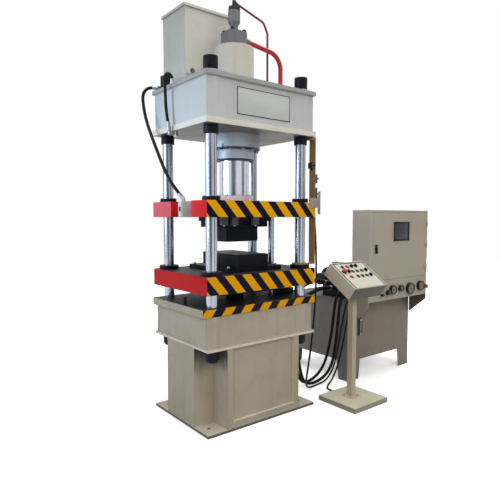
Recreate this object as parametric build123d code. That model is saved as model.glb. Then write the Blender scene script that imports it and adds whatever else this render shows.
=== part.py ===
from build123d import *

# Four-column hydraulic press with its hydraulic station and operator's console.
# Millimetres, +Z up. The origin is the centre of the press's base plate, on the floor.
# X runs along the front of the press, and the operator stands on the -Y side.

from math import cos, pi, radians, sin, tan
import os

# Heights of the press, from the floor up
BASE_PLATE = 20
PEDESTAL_HEIGHT = 568
FLANGE_PLATE = 20
BEAM_HEIGHT = 216
TABLE_PLATE = 54
PLATEN_LIFT = 97
PLATEN_THICKNESS = 125
DAYLIGHT = 400
SLIDE_THICKNESS = 114
SLIDE_TO_CROWN = 505
CROWN_BOTTOM_PLATE = 40
CROWN_BOX_HEIGHT = 269
CROWN_TOP_PLATE = 30

# Columns, their nuts and the bushes that run on them
COLUMN_DIA = 80
COLUMN_SPACING_X = 830
COLUMN_SPACING_Y = 600
NUT_DIA = 100
CROWN_NUT_HEIGHT = 92
NUT_SEAT_DIA = 116
NUT_SEAT_HEIGHT = 14
COLLAR_HEIGHT = 62
BED_NUT_HEIGHT = 70
COLUMN_STUD = 16
NUT_SLOT = 14
NUT_SLOT_DEPTH = 7
NUT_SLOT_HEIGHT = 30
BUSH_DIA = 104
SLIDE_BUSH_FLANGE = 125
SLIDE_BUSH_HEIGHT = 27
PLATEN_BUSH_FLANGE = 150
PLATEN_BUSH_HEIGHT = 28

# How far each plate and box of the frame reaches past the columns' centres, in X and Y
PLATE_MARGIN = (85, 80)
FOOT_MARGIN = (88, 80)
TABLE_MARGIN = (110, 61)
BEAM_MARGIN = (77, 50.5)
CROWN_BOX_MARGIN = (69, 58.5)
PEDESTAL_MARGIN = (79, 76)
SLIDE_MARGIN = (89, 80)
PLATEN_MARGIN = (90, 80)
FRAME_WALL = 20
RIB = 16
SLEEVE_WALL = 25

# Pedestal with recessed corners round the column nuts and a recessed front panel
NUT_ROOM_X = 30
NUT_ROOM_Y = 60
PEDESTAL_WALL = 16
PANEL_INSET = 25
PANEL_PLATE = 10
PANEL_BORDER = 43
PANEL_RAIL = 45
ANCHOR_SPACING_X = 860
ANCHOR_SPACING_Y = 550
ANCHOR_HOLE = 24

# Clearances on the radius: of a running fit, of a seat or thread, and of an open hole
RUNNING = 0.05
SEAT = 0.3
HOLE = 0.5

# Main cylinder and ram
BARREL_DIA = 300
BARREL_WALL = 24
BARREL_TOP_RISE = 319
BARREL_END = 60
BARREL_SHOULDER = 28
BARREL_SHOULDER_WIDTH = 25
LOCK_RING_DIA = 393
LOCK_RING_HEIGHT = 106
LOCK_SLOTS = 6
LOCK_SLOT_WIDTH = 24
LOCK_SLOT_DEPTH = 10
GLAND_DIA = 305
GLAND_HEIGHT = 85
RAM_DIA = 240
PISTON_LENGTH = 70
PISTON_RISE = 716
RAM_GROOVE_DEPTH = 8
RAM_GROOVE_RISE = 16
RAM_GROOVE_HEIGHT = 18
RAM_FLANGE_DIA = 290
RAM_FLANGE_HEIGHT = 47
RAM_FLANGE_SLIT = 3
RAM_BOLTS = 8
BOLT_HEAD = 18
BOLT_HEAD_HEIGHT = 11

# Slide
POCKET_DEPTH = 74
RECESS_DEPTH = 74
RECESS_FRONT = -184
RECESS_BACK = 100

# Dies, guide posts and their clamps
SHOE_WIDTH = 470
SHOE_DEPTH = 300
SHOE_LEDGE = 30
SHOE_STEP = 32
SHOE_HEIGHT = 75
PUNCH_WIDTH = 298
PUNCH_DEPTH = 200
PUNCH_HEIGHT = 110
CLAMP_PLACES = (-215, -120, 75)
CLAMP_WIDTH = 60
CLAMP_HEEL = 24
CLAMP_TOE = 29
LOWER_SHOE_WIDTH = 510
LOWER_SHOE_DEPTH = 520
LOWER_SHOE_HEIGHT = 32
LOWER_DIE_WIDTH = 280
LOWER_DIE_DEPTH = 480
LOWER_DIE_HEIGHT = 93
POST_DIA = 48
POST_X = 290
POST_Y = -100
POST_ENTRY = 6
POST_BORE_DEPTH = 100

# Lower platen, its cushion and the stops on the table
PLATEN_DOWN = 45
PAD_WIDTH = 510
PAD_DEPTH = 400
PAD_HEIGHT = 45
CUSHION_ROD = 140
CUSHION_BORE = 180
CUSHION_WALL = 20
CUSHION_LENGTH = 440
CUSHION_END = 20
CUSHION_GLAND = 64
CUSHION_FLANGE = 300
CUSHION_FLANGE_HEIGHT = 35
CUSHION_PISTON = 60
CUSHION_PISTON_DEPTH = 340
STOP_GAP = 2
STOP_BLOCK = (155, 60)
STOP_BLOCK_AT = (392, -140)
STOP_PIN_DIA = 22
STOP_PIN_AT = (-490, -68)

# Prefill tank and valve on the crown
TANK_LEFT = -320
TANK_RIGHT = 148
TANK_FRONT = 190
TANK_BACK = 525
TANK_HEIGHT = 634
TANK_WALL = 6
LID_OVERHANG = 12
LID_HEIGHT = 20
STUB_DIA = 56
STUB_BORE = 42
STUB_LENGTH = 45
STUB_X = -282
STUB_RISE = 140
VALVE_SIZE = 172
VALVE_CHAMFER = 34
VALVE_HEIGHT = 115
VALVE_BORE = 80
VALVE_BOLT = 30
VALVE_BOLT_HEIGHT = 22
NECK_DIA = 92
NECK_HEIGHT = 163
NECK_FLANGE = 20
NECK_WAIST_DIA = 59
NECK_WAIST = 33
NECK_TAPER = 27
CAP_ACROSS = 84
CAP_HEIGHT = 31
TOP_UNION = 30
UNION_RISE = 80

# Red pipes
PRESSURE_PIPE = 36
PRESSURE_PIPE_WALL = 4
PRESSURE_BEND = 125
PRESSURE_X = 425
PRESSURE_RISE = 56
PRESSURE_FALL = 40
PILOT_PIPE = 17
PILOT_PIPE_WALL = 2
PILOT_BEND = 48
PILOT_X = 330
PILOT_FALL = 76
PILOT_SHOULDER = 42
PIPE_STUB = 10

# Switch bar, its switches and the dog that trips them
BAR_GAP = 10
BAR_THICKNESS = 8
BAR_WIDTH = 62
BAR_Y = -331
ARM_HEIGHT = 20
CLAMP_RING_WALL = 22
CLAMP_RING_HEIGHT = 10
DOG_THICKNESS = 8
SWITCH_DEPTH = 30
SWITCH_CLEARANCE = 4
ROLLER_DIA = 14

# Junction box on the slide
JUNCTION_WIDTH = 90
JUNCTION_FRONT = -91
JUNCTION_DEPTH = 53
JUNCTION_HEIGHT = 110

# Oil tank of the station
OIL_LEFT = 1125
OIL_WIDTH = 930
OIL_FRONT = -196
OIL_DEPTH = 760
OIL_BOTTOM = 182
OIL_TOP = 750
OIL_WALL = 5
OIL_LIP = 8
OIL_LID = 6
LEG_WIDTH = 174
LEG_DEPTH = 134
LEG_TAPER_X = 17
LEG_TAPER_Y = 30
LEVEL_GAUGE = (58, 12, 159)
LEVEL_GAUGE_AT = (1282, 488)

# Electric cabinet
CABINET_LEFT = 1170
CABINET_WIDTH = 895
CABINET_DEPTH = 186
CABINET_BOTTOM = 745
CABINET_TOP = 1562
CABINET_WALL = 4
GUSSET_DROP = 47
GUSSET_REACH = 206
DOOR_LEFT_BORDER = 56
DOOR_BORDER = 16
DOOR_BOTTOM = 931
DOOR_GAP = 2
DOOR_THICKNESS = 20
DOOR_SHEET = 3
SCREEN_WIDTH = 240
SCREEN_HEIGHT = 176
SCREEN_AT = (1637, 1369)
HINGE_DIA = 12
HINGE_PIN = 6
HINGE_KNUCKLE = 30
HINGE_HEIGHTS = (1010, 1240, 1440)
LATCH_AT = (1262, 1218)
LATCH_SIZE = (24, 78)
GAUGES = ((1509, 837, 80), (1632, 839, 56), (1778, 826, 104), (1948, 838, 90))
GAUGE_DEPTH = 30
KNOBS = ((1343, 802, 26), (1431, 817, 46), (2034, 825, 36))
KNOB_DEPTH = 34

# Pump motor and valve block on the oil tank
MOTOR_DIA = 220
MOTOR_LENGTH = 300
MOTOR_AT = (1570, 320)
MOTOR_AXIS_RISE = 132
MOTOR_FINS = 16
PUMP_DIA = 120
PUMP_LENGTH = 130
BLOCK_LEFT = 1180
BLOCK_WIDTH = 140
BLOCK_FRONT = -150
BLOCK_DEPTH = 320
BLOCK_HEIGHT = 140
VALVE_BODY = (50, 70, 60)
COIL_DIA = 44
COIL_LENGTH = 60

# Operator's console
CONSOLE_X = 808
CONSOLE_BASE_BACK = -337
CONSOLE_BASE_WIDTH = 400
CONSOLE_BASE_DEPTH = 380
CONSOLE_BASE_HEIGHT = 40
CONSOLE_SHEET = 4
POST_TUBE = 50
POST_TUBE_WALL = 3
POST_TUBE_Y = -508
BOX_WIDTH = 390
BOX_LENGTH = 315
BOX_DEPTH = 110
BOX_SHEET = 3
BOX_TILT = 34
BOX_FRONT_EDGE = (-698, 957)
FACE_PLATE = (362, 258, 2)
FACE_PLATE_Y = 16

# Controls on the console, as places across and up its face
BEZEL_DIA = 30
BEZEL_HEIGHT = 4
BUTTON_DIA = 24
BUTTON_PROUD = 8
BUTTON_TRAVEL = 4
STOP_HEAD_DIA = 40
STOP_HEAD_HEIGHT = 12
STOP_COLLAR = 8
SELECTOR_LENGTH = 28
SELECTOR_WIDTH = 9
SELECTOR_HEIGHT = 16
ROW_TOP = 97
ROW_MIDDLE = 38
ROW_BOTTOM = -22
LAMPS = ((-108, ROW_TOP), (-48, ROW_TOP))
EMERGENCY_STOP = (-138, ROW_MIDDLE)
BUTTONS = {
    "button_start": (-36, ROW_MIDDLE),
    "button_pressing": (18, ROW_MIDDLE),
    "button_reset": (72, ROW_MIDDLE),
    "button_pump_stop": (-106, ROW_BOTTOM),
    "button_slide_up": (-28, ROW_BOTTOM),
    "button_slide_down": (24, ROW_BOTTOM),
    "button_cushion_up": (76, ROW_BOTTOM),
}
SELECTORS = {
    "selector_mode": (2, ROW_TOP),
    "selector_light": (52, ROW_TOP),
    "selector_pump": (-86, ROW_MIDDLE),
    "selector_cushion": (122, ROW_MIDDLE),
    "selector_power": (124, ROW_BOTTOM),
}

# Hoses and cables: outer diameters, and the fittings that their ends meet
SLIDE_HOSE = 24
CROWN_HOSE = 22
FEED_HOSE = 36
FLOOR_HOSE = 26
CABLE = 16
FITTING_WALL = 4
GLAND_LENGTH = 17
PORT_LENGTH = 45
COLLAR_LENGTH = 42
CROWN_HOSE_PORT = (-476, 66)
ELBOW_DROP = 22
ARC_SHARE = 0.45

# Plan sizes that follow from the columns' spacing
PLATE_WIDTH = COLUMN_SPACING_X + 2 * PLATE_MARGIN[0]
PLATE_DEPTH = COLUMN_SPACING_Y + 2 * PLATE_MARGIN[1]
FOOT_WIDTH = COLUMN_SPACING_X + 2 * FOOT_MARGIN[0]
FOOT_DEPTH = COLUMN_SPACING_Y + 2 * FOOT_MARGIN[1]
TABLE_WIDTH = COLUMN_SPACING_X + 2 * TABLE_MARGIN[0]
TABLE_DEPTH = COLUMN_SPACING_Y + 2 * TABLE_MARGIN[1]
BEAM_WIDTH = COLUMN_SPACING_X + 2 * BEAM_MARGIN[0]
BEAM_DEPTH = COLUMN_SPACING_Y + 2 * BEAM_MARGIN[1]
CROWN_BOX_WIDTH = COLUMN_SPACING_X + 2 * CROWN_BOX_MARGIN[0]
CROWN_BOX_DEPTH = COLUMN_SPACING_Y + 2 * CROWN_BOX_MARGIN[1]
PEDESTAL_WIDTH = COLUMN_SPACING_X + 2 * PEDESTAL_MARGIN[0]
PEDESTAL_DEPTH = COLUMN_SPACING_Y + 2 * PEDESTAL_MARGIN[1]
SIDE_ARM_DEPTH = COLUMN_SPACING_Y - NUT_DIA - 2 * NUT_ROOM_Y
FRONT_ARM_WIDTH = COLUMN_SPACING_X - NUT_DIA - 2 * NUT_ROOM_X
SLIDE_WIDTH = COLUMN_SPACING_X + 2 * SLIDE_MARGIN[0]
SLIDE_DEPTH = COLUMN_SPACING_Y + 2 * SLIDE_MARGIN[1]
PLATEN_WIDTH = COLUMN_SPACING_X + 2 * PLATEN_MARGIN[0]
PLATEN_DEPTH = COLUMN_SPACING_Y + 2 * PLATEN_MARGIN[1]

# Levels and places that follow from the sizes above
PEDESTAL_TOP = BASE_PLATE + PEDESTAL_HEIGHT
BEAM_BOTTOM = PEDESTAL_TOP + FLANGE_PLATE
TABLE_BOTTOM = BEAM_BOTTOM + BEAM_HEIGHT
TABLE_TOP = TABLE_BOTTOM + TABLE_PLATE
PLATEN_BOTTOM = TABLE_TOP + PLATEN_LIFT
PLATEN_TOP = PLATEN_BOTTOM + PLATEN_THICKNESS
SLIDE_BOTTOM = PLATEN_TOP + DAYLIGHT
SLIDE_TOP = SLIDE_BOTTOM + SLIDE_THICKNESS
CROWN_BOTTOM = SLIDE_TOP + SLIDE_TO_CROWN
CROWN_BOX_BOTTOM = CROWN_BOTTOM + CROWN_BOTTOM_PLATE
CROWN_BOX_TOP = CROWN_BOX_BOTTOM + CROWN_BOX_HEIGHT
CROWN_TOP = CROWN_BOX_TOP + CROWN_TOP_PLATE
NUT_SEAT_TOP = CROWN_TOP + NUT_SEAT_HEIGHT
LOCK_RING_BOTTOM = CROWN_BOTTOM - LOCK_RING_HEIGHT
GLAND_BOTTOM = LOCK_RING_BOTTOM - GLAND_HEIGHT
BARREL_TOP = CROWN_TOP + BARREL_TOP_RISE
BARREL_BORE = BARREL_DIA - 2 * BARREL_WALL
PISTON_DIA = BARREL_BORE - 2 * RUNNING
PISTON_BOTTOM = SLIDE_TOP + PISTON_RISE
GROOVE_DIA = RAM_DIA - 2 * RAM_GROOVE_DEPTH
SHOE_BOTTOM = SLIDE_BOTTOM - SHOE_HEIGHT
PUNCH_BOTTOM = SHOE_BOTTOM - PUNCH_HEIGHT
LOWER_SHOE_TOP = PLATEN_TOP + LOWER_SHOE_HEIGHT
LOWER_DIE_TOP = LOWER_SHOE_TOP + LOWER_DIE_HEIGHT
PAD_BOTTOM = PLATEN_BOTTOM - PAD_HEIGHT
STOP_HEIGHT = PLATEN_LIFT - PLATEN_DOWN - STOP_GAP
VALVE_TOP = BARREL_TOP + VALVE_HEIGHT
VALVE_HEAD = VALVE_TOP + NECK_HEIGHT
BAR_INNER = SLIDE_WIDTH / 2 + BAR_GAP
BAR_OUTER = BAR_INNER + BAR_THICKNESS
BAR_BOTTOM = PLATEN_TOP + PLATEN_BUSH_HEIGHT + 3
DOG_BACK = -SLIDE_DEPTH / 2
DOG_FRONT = DOG_BACK - DOG_THICKNESS
CABINET_FRONT = OIL_FRONT - CABINET_DEPTH
CABINET_RIGHT = CABINET_LEFT + CABINET_WIDTH
DOOR_LEFT = CABINET_LEFT + DOOR_LEFT_BORDER
DOOR_RIGHT = CABINET_RIGHT - DOOR_BORDER
DOOR_TOP = CABINET_TOP - DOOR_BORDER
HINGE_X = DOOR_RIGHT
HINGE_Y = CABINET_FRONT - HINGE_DIA / 2 - 1
OIL_RIGHT = OIL_LEFT + OIL_WIDTH
OIL_BACK = OIL_FRONT + OIL_DEPTH
BLOCK_TOP = OIL_TOP + BLOCK_HEIGHT

# Routes of the two red pipes, from the valve to the crown
PRESSURE_Y = VALVE_CHAMFER - VALVE_SIZE / 2
PRESSURE_ROUTE = (
    (VALVE_SIZE / 2 + PIPE_STUB, PRESSURE_Y, BARREL_TOP + PRESSURE_RISE),
    (PRESSURE_X, PRESSURE_Y, BARREL_TOP + PRESSURE_RISE - PRESSURE_FALL),
    (PRESSURE_X, PRESSURE_Y, CROWN_TOP),
)
PILOT_TOP = VALVE_HEAD + UNION_RISE - PILOT_PIPE
PILOT_ROUTE = (
    (TOP_UNION / 2 + PIPE_STUB, 0, PILOT_TOP),
    (PILOT_X - PILOT_SHOULDER, 0, PILOT_TOP - PILOT_FALL),
    (PILOT_X, 0, PILOT_TOP - 2 * PILOT_FALL),
    (PILOT_X, 0, CROWN_TOP),
)

# The console's face: X across it, Y up it, Z out of it
FACE_CENTRE_Y = BOX_FRONT_EDGE[0] + BOX_LENGTH / 2 * cos(radians(BOX_TILT))
FACE_CENTRE_Z = BOX_FRONT_EDGE[1] + BOX_LENGTH / 2 * sin(radians(BOX_TILT))
FACE = Plane(
    origin=(CONSOLE_X, FACE_CENTRE_Y, FACE_CENTRE_Z),
    x_dir=(1, 0, 0),
    z_dir=(0, -sin(radians(BOX_TILT)), cos(radians(BOX_TILT))),
)

# Routes of the hoses and cables, from their first end to their last
SLIDE_HOSE_ROUTE = (
    (-478, 366, 2486), (-512, 376, 2486), (-542, 385, 2472), (-564, 391, 2446),
    (-573, 393, 2412), (-573, 388, 2360), (-570, 362, 2260), (-566, 298, 2140),
    (-562, 210, 2010), (-560, 110, 1870), (-556, 20, 1760), (-534, -34, 1694),
    (-508, -62, 1644),
)
CROWN_HOSE_ROUTE = (
    (-466, 128, 2480), (-466, 128, 2512), (-487, 120, 2531), (-517, 110, 2532),
    (-539, 102, 2512), (-541, 101, 2460), (-539, 100, 2370), (-536, 97, 2270),
    (-531, 88, 2205), (-529, 78, 2158),
)
FEED_HOSE_ROUTE = (
    (1158, 112, 880), (1080, 114, 906), (1000, 112, 912), (890, 106, 886), (775, 100, 844),
    (665, 94, 806), (580, 90, 788), (505, 86, 784),
)
RETURN_HOSE_ROUTE = (
    (1158, 36, 838), (1075, 38, 846), (985, 43, 838), (865, 50, 800), (745, 52, 766),
    (640, 48, 750), (570, 43, 746), (505, 40, 746),
)
FLOOR_HOSE_A_ROUTE = (
    (1158, -84, 830), (1094, -82, 778), (1079, -76, 698), (1080, -61, 590), (1082, -36, 430),
    (1081, -2, 270), (1064, 20, 150), (1000, 30, 58), (895, 22, 15), (790, 0, 14),
    (712, -18, 46), (674, -16, 128), (660, -2, 240), (650, 18, 380), (628, 40, 510),
    (600, 56, 600), (556, 66, 664), (505, 70, 694),
)
FLOOR_HOSE_B_ROUTE = (
    (1158, -136, 820), (1094, -134, 768), (1080, -129, 688), (1081, -118, 582),
    (1084, -98, 430), (1085, -76, 280), (1070, -62, 152), (1006, -52, 58), (900, -48, 16),
    (795, -52, 14), (716, -60, 44), (677, -56, 126), (664, -40, 240), (652, -16, 376),
    (630, 2, 496), (604, 16, 580), (558, 26, 642), (505, 30, 672),
)
SWITCH_CABLE_ROUTE = (
    (539, -334, 1636), (539, -334, 1510), (543, -348, 1320), (545, -357, 1120),
    (547, -352, 920), (550, -335, 720), (553, -310, 530), (562, -272, 350), (585, -222, 190),
    (630, -160, 70), (712, -116, 12), (835, -94, 9), (955, -92, 20), (1040, -99, 110),
    (1078, -112, 260), (1086, -138, 430), (1088, -168, 590), (1084, -200, 700),
    (1096, -212, 762), (1124, -214, 784), (1157, -214, 784),
)
CONTROL_CABLE_ROUTE = (
    (1157, -248, 812), (1124, -248, 812), (1094, -246, 790), (1080, -242, 728),
    (1080, -228, 610), (1080, -196, 440), (1074, -160, 270), (1050, -138, 130),
    (985, -138, 36), (900, -166, 9), (838, -214, 10), (808, -266, 20), (808, -318, 20),
)


def span(x0, x1, y0, y1, z0, z1):
    """A box between two limits on each axis."""
    return Pos((x0 + x1) / 2, (y0 + y1) / 2, (z0 + z1) / 2) * Box(x1 - x0, y1 - y0, z1 - z0)


def plate(width, depth, z0, z1, x=0, y=0):
    """A flat block centred on x and y."""
    return Pos(x, y, (z0 + z1) / 2) * Box(width, depth, z1 - z0)


def rod(dia, z0, z1, x=0, y=0):
    """An upright cylinder."""
    return Pos(x, y, (z0 + z1) / 2) * Cylinder(dia / 2, z1 - z0)


def rod_between(start, end, dia):
    """A cylinder between two points."""
    a, b = Vector(*start), Vector(*end)
    return Plane(origin=(a + b) / 2, z_dir=b - a) * Cylinder(dia / 2, (b - a).length)


def hexagon(across, z0, z1, x=0, y=0):
    """An upright hexagonal bar, measured across its flats."""
    return Pos(x, y, z0) * extrude(RegularPolygon(across / 2, 6, major_radius=False), z1 - z0)


def upright(points, y0, y1):
    """A plate with an outline in X and Z, from y0 back to y1."""
    outline = make_face(Polyline(*[(x, 0, z) for x, z in points], close=True))
    return Pos(0, y0, 0) * extrude(outline, y1 - y0, dir=(0, 1, 0))


def side_plate(points, x0, x1):
    """A plate with an outline in Y and Z, from x0 to x1."""
    outline = make_face(Polyline(*[(0, y, z) for y, z in points], close=True))
    return Pos(x0, 0, 0) * extrude(outline, x1 - x0, dir=(1, 0, 0))


def group(pieces):
    """Separate pieces kept together as one sub-part."""
    return Compound([solid for piece in pieces for solid in piece.solids()])


def fitting_foot(route, length, end=0):
    """The point inside a hose's fitting, at a length from the hose's end."""
    tip = Vector(*route[end])
    inward = (tip - Vector(*route[-2 if end else 1])).normalized()
    return tuple(tip + inward * length)


def fitting(route, dia, length, end=0):
    """A sleeve in line with a hose, which its first or last end meets."""
    return rod_between(route[end], fitting_foot(route, length, end), dia + 2 * FITTING_WALL)


def column_places():
    """Centres of the four columns."""
    return [
        (side * COLUMN_SPACING_X / 2, depth * COLUMN_SPACING_Y / 2)
        for side in (-1, 1)
        for depth in (-1, 1)
    ]


def at_columns(make):
    """One piece made at each column."""
    return [make(x, y) for x, y in column_places()]


def column_holes(dia, z0, z1):
    """Bores for the four columns."""
    return at_columns(lambda x, y: rod(dia, z0, z1, x, y))


def post_holes(dia, z0, z1):
    """Bores for the two guide posts."""
    return [rod(dia, z0, z1, side * POST_X, POST_Y) for side in (-1, 1)]


def pedestal():
    """Base plate, cross-shaped box with recessed corners, and the flange plate on top."""
    def cross(inset, front_inset, z0, z1):
        side_arm = plate(PEDESTAL_WIDTH - 2 * inset, SIDE_ARM_DEPTH - 2 * inset, z0, z1)
        front_arm = span(
            -FRONT_ARM_WIDTH / 2 + inset, FRONT_ARM_WIDTH / 2 - inset,
            -PEDESTAL_DEPTH / 2 + front_inset, PEDESTAL_DEPTH / 2 - inset, z0, z1,
        )
        return side_arm + front_arm

    body = plate(FOOT_WIDTH, FOOT_DEPTH, 0, BASE_PLATE)
    body += cross(0, 0, BASE_PLATE, PEDESTAL_TOP)
    body += plate(PLATE_WIDTH, PLATE_DEPTH, PEDESTAL_TOP, BEAM_BOTTOM)
    body -= cross(PEDESTAL_WALL, PANEL_INSET + PANEL_PLATE, BASE_PLATE, PEDESTAL_TOP)
    panel_half = FRONT_ARM_WIDTH / 2 - PANEL_BORDER
    front = -PEDESTAL_DEPTH / 2
    body -= span(
        -panel_half, panel_half, front, front + PANEL_INSET, BASE_PLATE + PANEL_RAIL, PEDESTAL_TOP
    )
    cushion_hole = CUSHION_BORE + 2 * CUSHION_WALL + 12
    body -= rod(cushion_hole, PEDESTAL_TOP, BEAM_BOTTOM)
    body -= column_holes(COLUMN_DIA + 2 * HOLE, PEDESTAL_TOP, BEAM_BOTTOM)
    for side in (-1, 1):
        for depth in (-1, 1):
            x = side * ANCHOR_SPACING_X / 2
            y = depth * ANCHOR_SPACING_Y / 2
            body -= rod(ANCHOR_HOLE, 0, BASE_PLATE, x, y)
    return body


def bed_beam():
    """Welded box under the table, with column sleeves, ribs and hose glands on its right wall."""
    sleeve = COLUMN_DIA + 2 * SLEEVE_WALL
    inner_width = BEAM_WIDTH - 2 * FRAME_WALL
    body = plate(BEAM_WIDTH, BEAM_DEPTH, BEAM_BOTTOM, TABLE_BOTTOM)
    body -= plate(inner_width, BEAM_DEPTH - 2 * FRAME_WALL, BEAM_BOTTOM, TABLE_BOTTOM)
    rib_y = CUSHION_FLANGE / 2 + SLEEVE_WALL
    for side in (-1, 1):
        body += plate(inner_width, RIB, BEAM_BOTTOM, TABLE_BOTTOM, 0, side * rib_y)
    body += column_holes(sleeve, BEAM_BOTTOM, TABLE_BOTTOM)
    body -= column_holes(COLUMN_DIA + 2 * HOLE, BEAM_BOTTOM, TABLE_BOTTOM)
    body += fitting(FEED_HOSE_ROUTE, FEED_HOSE, 2 * GLAND_LENGTH, -1)
    body += fitting(RETURN_HOSE_ROUTE, FEED_HOSE, 2 * GLAND_LENGTH, -1)
    body += fitting(FLOOR_HOSE_A_ROUTE, FLOOR_HOSE, 2 * GLAND_LENGTH, -1)
    return body + fitting(FLOOR_HOSE_B_ROUTE, FLOOR_HOSE, 2 * GLAND_LENGTH, -1)


def table_plate():
    """Thick table with holes for the columns and the cushion rod."""
    body = plate(TABLE_WIDTH, TABLE_DEPTH, TABLE_BOTTOM, TABLE_TOP)
    body -= column_holes(COLUMN_DIA + 2 * HOLE, TABLE_BOTTOM, TABLE_TOP)
    body -= rod(CUSHION_ROD + 10, TABLE_BOTTOM, TABLE_TOP)
    return body


def crown():
    """Welded head: two plates, walls, sleeves for the columns and the cylinder, cross ribs."""
    body = plate(PLATE_WIDTH, PLATE_DEPTH, CROWN_BOTTOM, CROWN_BOX_BOTTOM)
    body += plate(PLATE_WIDTH, PLATE_DEPTH, CROWN_BOX_TOP, CROWN_TOP)
    walls = plate(CROWN_BOX_WIDTH, CROWN_BOX_DEPTH, CROWN_BOX_BOTTOM, CROWN_BOX_TOP)
    walls -= plate(
        CROWN_BOX_WIDTH - 2 * FRAME_WALL, CROWN_BOX_DEPTH - 2 * FRAME_WALL,
        CROWN_BOX_BOTTOM, CROWN_BOX_TOP,
    )
    body += walls
    sleeve = COLUMN_DIA + 2 * SLEEVE_WALL
    body += column_holes(sleeve, CROWN_BOX_BOTTOM, CROWN_BOX_TOP)
    body += rod(BARREL_DIA + 2 * SLEEVE_WALL, CROWN_BOX_BOTTOM, CROWN_BOX_TOP)
    body += plate(CROWN_BOX_WIDTH - FRAME_WALL, RIB, CROWN_BOX_BOTTOM, CROWN_BOX_TOP)
    body += plate(RIB, CROWN_BOX_DEPTH - FRAME_WALL, CROWN_BOX_BOTTOM, CROWN_BOX_TOP)
    body += column_holes(NUT_SEAT_DIA, CROWN_TOP, NUT_SEAT_TOP)
    body -= column_holes(COLUMN_DIA + 2 * HOLE, CROWN_BOTTOM, NUT_SEAT_TOP)
    body -= rod(BARREL_DIA + 2 * SEAT, CROWN_BOTTOM, CROWN_TOP)
    return body


def columns():
    """Four round columns from the bed nuts to the crown nuts."""
    bottom = PEDESTAL_TOP - BED_NUT_HEIGHT - COLUMN_STUD
    top = NUT_SEAT_TOP + CROWN_NUT_HEIGHT - COLUMN_STUD / 2
    return group(at_columns(lambda x, y: rod(COLUMN_DIA, bottom, top, x, y)))


def round_nut(x, y, z0, height):
    """A round nut with spanner slots in its lower rim."""
    body = rod(NUT_DIA, z0, z0 + height, x, y)
    reach = NUT_DIA / 2
    for angle in (45, 135):
        slot = Pos(x, y, z0 + NUT_SLOT_HEIGHT / 2) * Rot(0, 0, angle)
        body -= slot * Pos(reach, 0, 0) * Box(2 * NUT_SLOT_DEPTH, NUT_SLOT, NUT_SLOT_HEIGHT)
        body -= slot * Pos(-reach, 0, 0) * Box(2 * NUT_SLOT_DEPTH, NUT_SLOT, NUT_SLOT_HEIGHT)
    return body - rod(COLUMN_DIA + 2 * SEAT, z0, z0 + height, x, y)


def column_nuts():
    """Nuts on the crown, collars under it and nuts under the bed, at every column."""
    def nuts(x, y):
        top = round_nut(x, y, NUT_SEAT_TOP, CROWN_NUT_HEIGHT)
        collar = rod(NUT_DIA, CROWN_BOTTOM - COLLAR_HEIGHT, CROWN_BOTTOM, x, y)
        collar -= rod(COLUMN_DIA + 2 * SEAT, CROWN_BOTTOM - COLLAR_HEIGHT, CROWN_BOTTOM, x, y)
        bed = rod(NUT_DIA, PEDESTAL_TOP - BED_NUT_HEIGHT, PEDESTAL_TOP, x, y)
        bed -= rod(COLUMN_DIA + 2 * SEAT, PEDESTAL_TOP - BED_NUT_HEIGHT, PEDESTAL_TOP, x, y)
        return group([top, collar, bed])

    return group(at_columns(nuts))


def bushes(flange_dia, flange_height, z0, z1):
    """Flanged bushes that run on the columns, with their flanges on top."""
    def bush(x, y):
        body = rod(BUSH_DIA, z0, z1, x, y) + rod(flange_dia, z1, z1 + flange_height, x, y)
        return body - rod(COLUMN_DIA + 2 * RUNNING, z0, z1 + flange_height, x, y)

    return group(at_columns(bush))


def main_cylinder():
    """Barrel through the crown, with a shoulder on it and a closed end for the valve."""
    body = rod(BARREL_DIA, LOCK_RING_BOTTOM, BARREL_TOP)
    shoulder = BARREL_DIA + 2 * BARREL_SHOULDER_WIDTH
    body += rod(shoulder, CROWN_TOP, CROWN_TOP + BARREL_SHOULDER)
    body -= rod(BARREL_BORE, LOCK_RING_BOTTOM, BARREL_TOP - BARREL_END)
    body -= rod(VALVE_BORE, BARREL_TOP - BARREL_END, BARREL_TOP)
    return body


def cylinder_lock_ring():
    """Round nut that holds the barrel up against the crown, with spanner slots."""
    body = rod(LOCK_RING_DIA, LOCK_RING_BOTTOM, CROWN_BOTTOM)
    body -= rod(BARREL_DIA + 2 * SEAT, LOCK_RING_BOTTOM, CROWN_BOTTOM)
    slot = Box(2 * LOCK_SLOT_DEPTH, LOCK_SLOT_WIDTH, LOCK_RING_HEIGHT / 2)
    for i in range(LOCK_SLOTS):
        turn = Rot(0, 0, 360 / LOCK_SLOTS * (i + 0.5))
        body -= Pos(0, 0, LOCK_RING_BOTTOM) * turn * Pos(LOCK_RING_DIA / 2, 0, 0) * slot
    return body


def cylinder_gland_ring():
    """Gland that the ram runs in, under the barrel."""
    body = rod(GLAND_DIA, GLAND_BOTTOM, LOCK_RING_BOTTOM)
    body -= rod(RAM_DIA + 2 * RUNNING, GLAND_BOTTOM, LOCK_RING_BOTTOM)
    edge = body.edges().filter_by(GeomType.CIRCLE).sort_by(Axis.Z)
    return chamfer([e for e in edge if e.center().Z < GLAND_BOTTOM + 1 and e.radius > RAM_DIA / 2 + 1], 4)


def main_ram():
    """Chromed ram with a clamping groove at its foot and a piston at its top."""
    groove_bottom = SLIDE_TOP + RAM_GROOVE_RISE
    body = rod(RAM_DIA, SLIDE_TOP, PISTON_BOTTOM)
    body += rod(PISTON_DIA, PISTON_BOTTOM, PISTON_BOTTOM + PISTON_LENGTH)
    groove = rod(RAM_DIA + 2, groove_bottom, groove_bottom + RAM_GROOVE_HEIGHT)
    groove -= rod(GROOVE_DIA, groove_bottom, groove_bottom + RAM_GROOVE_HEIGHT)
    return body - groove


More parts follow.
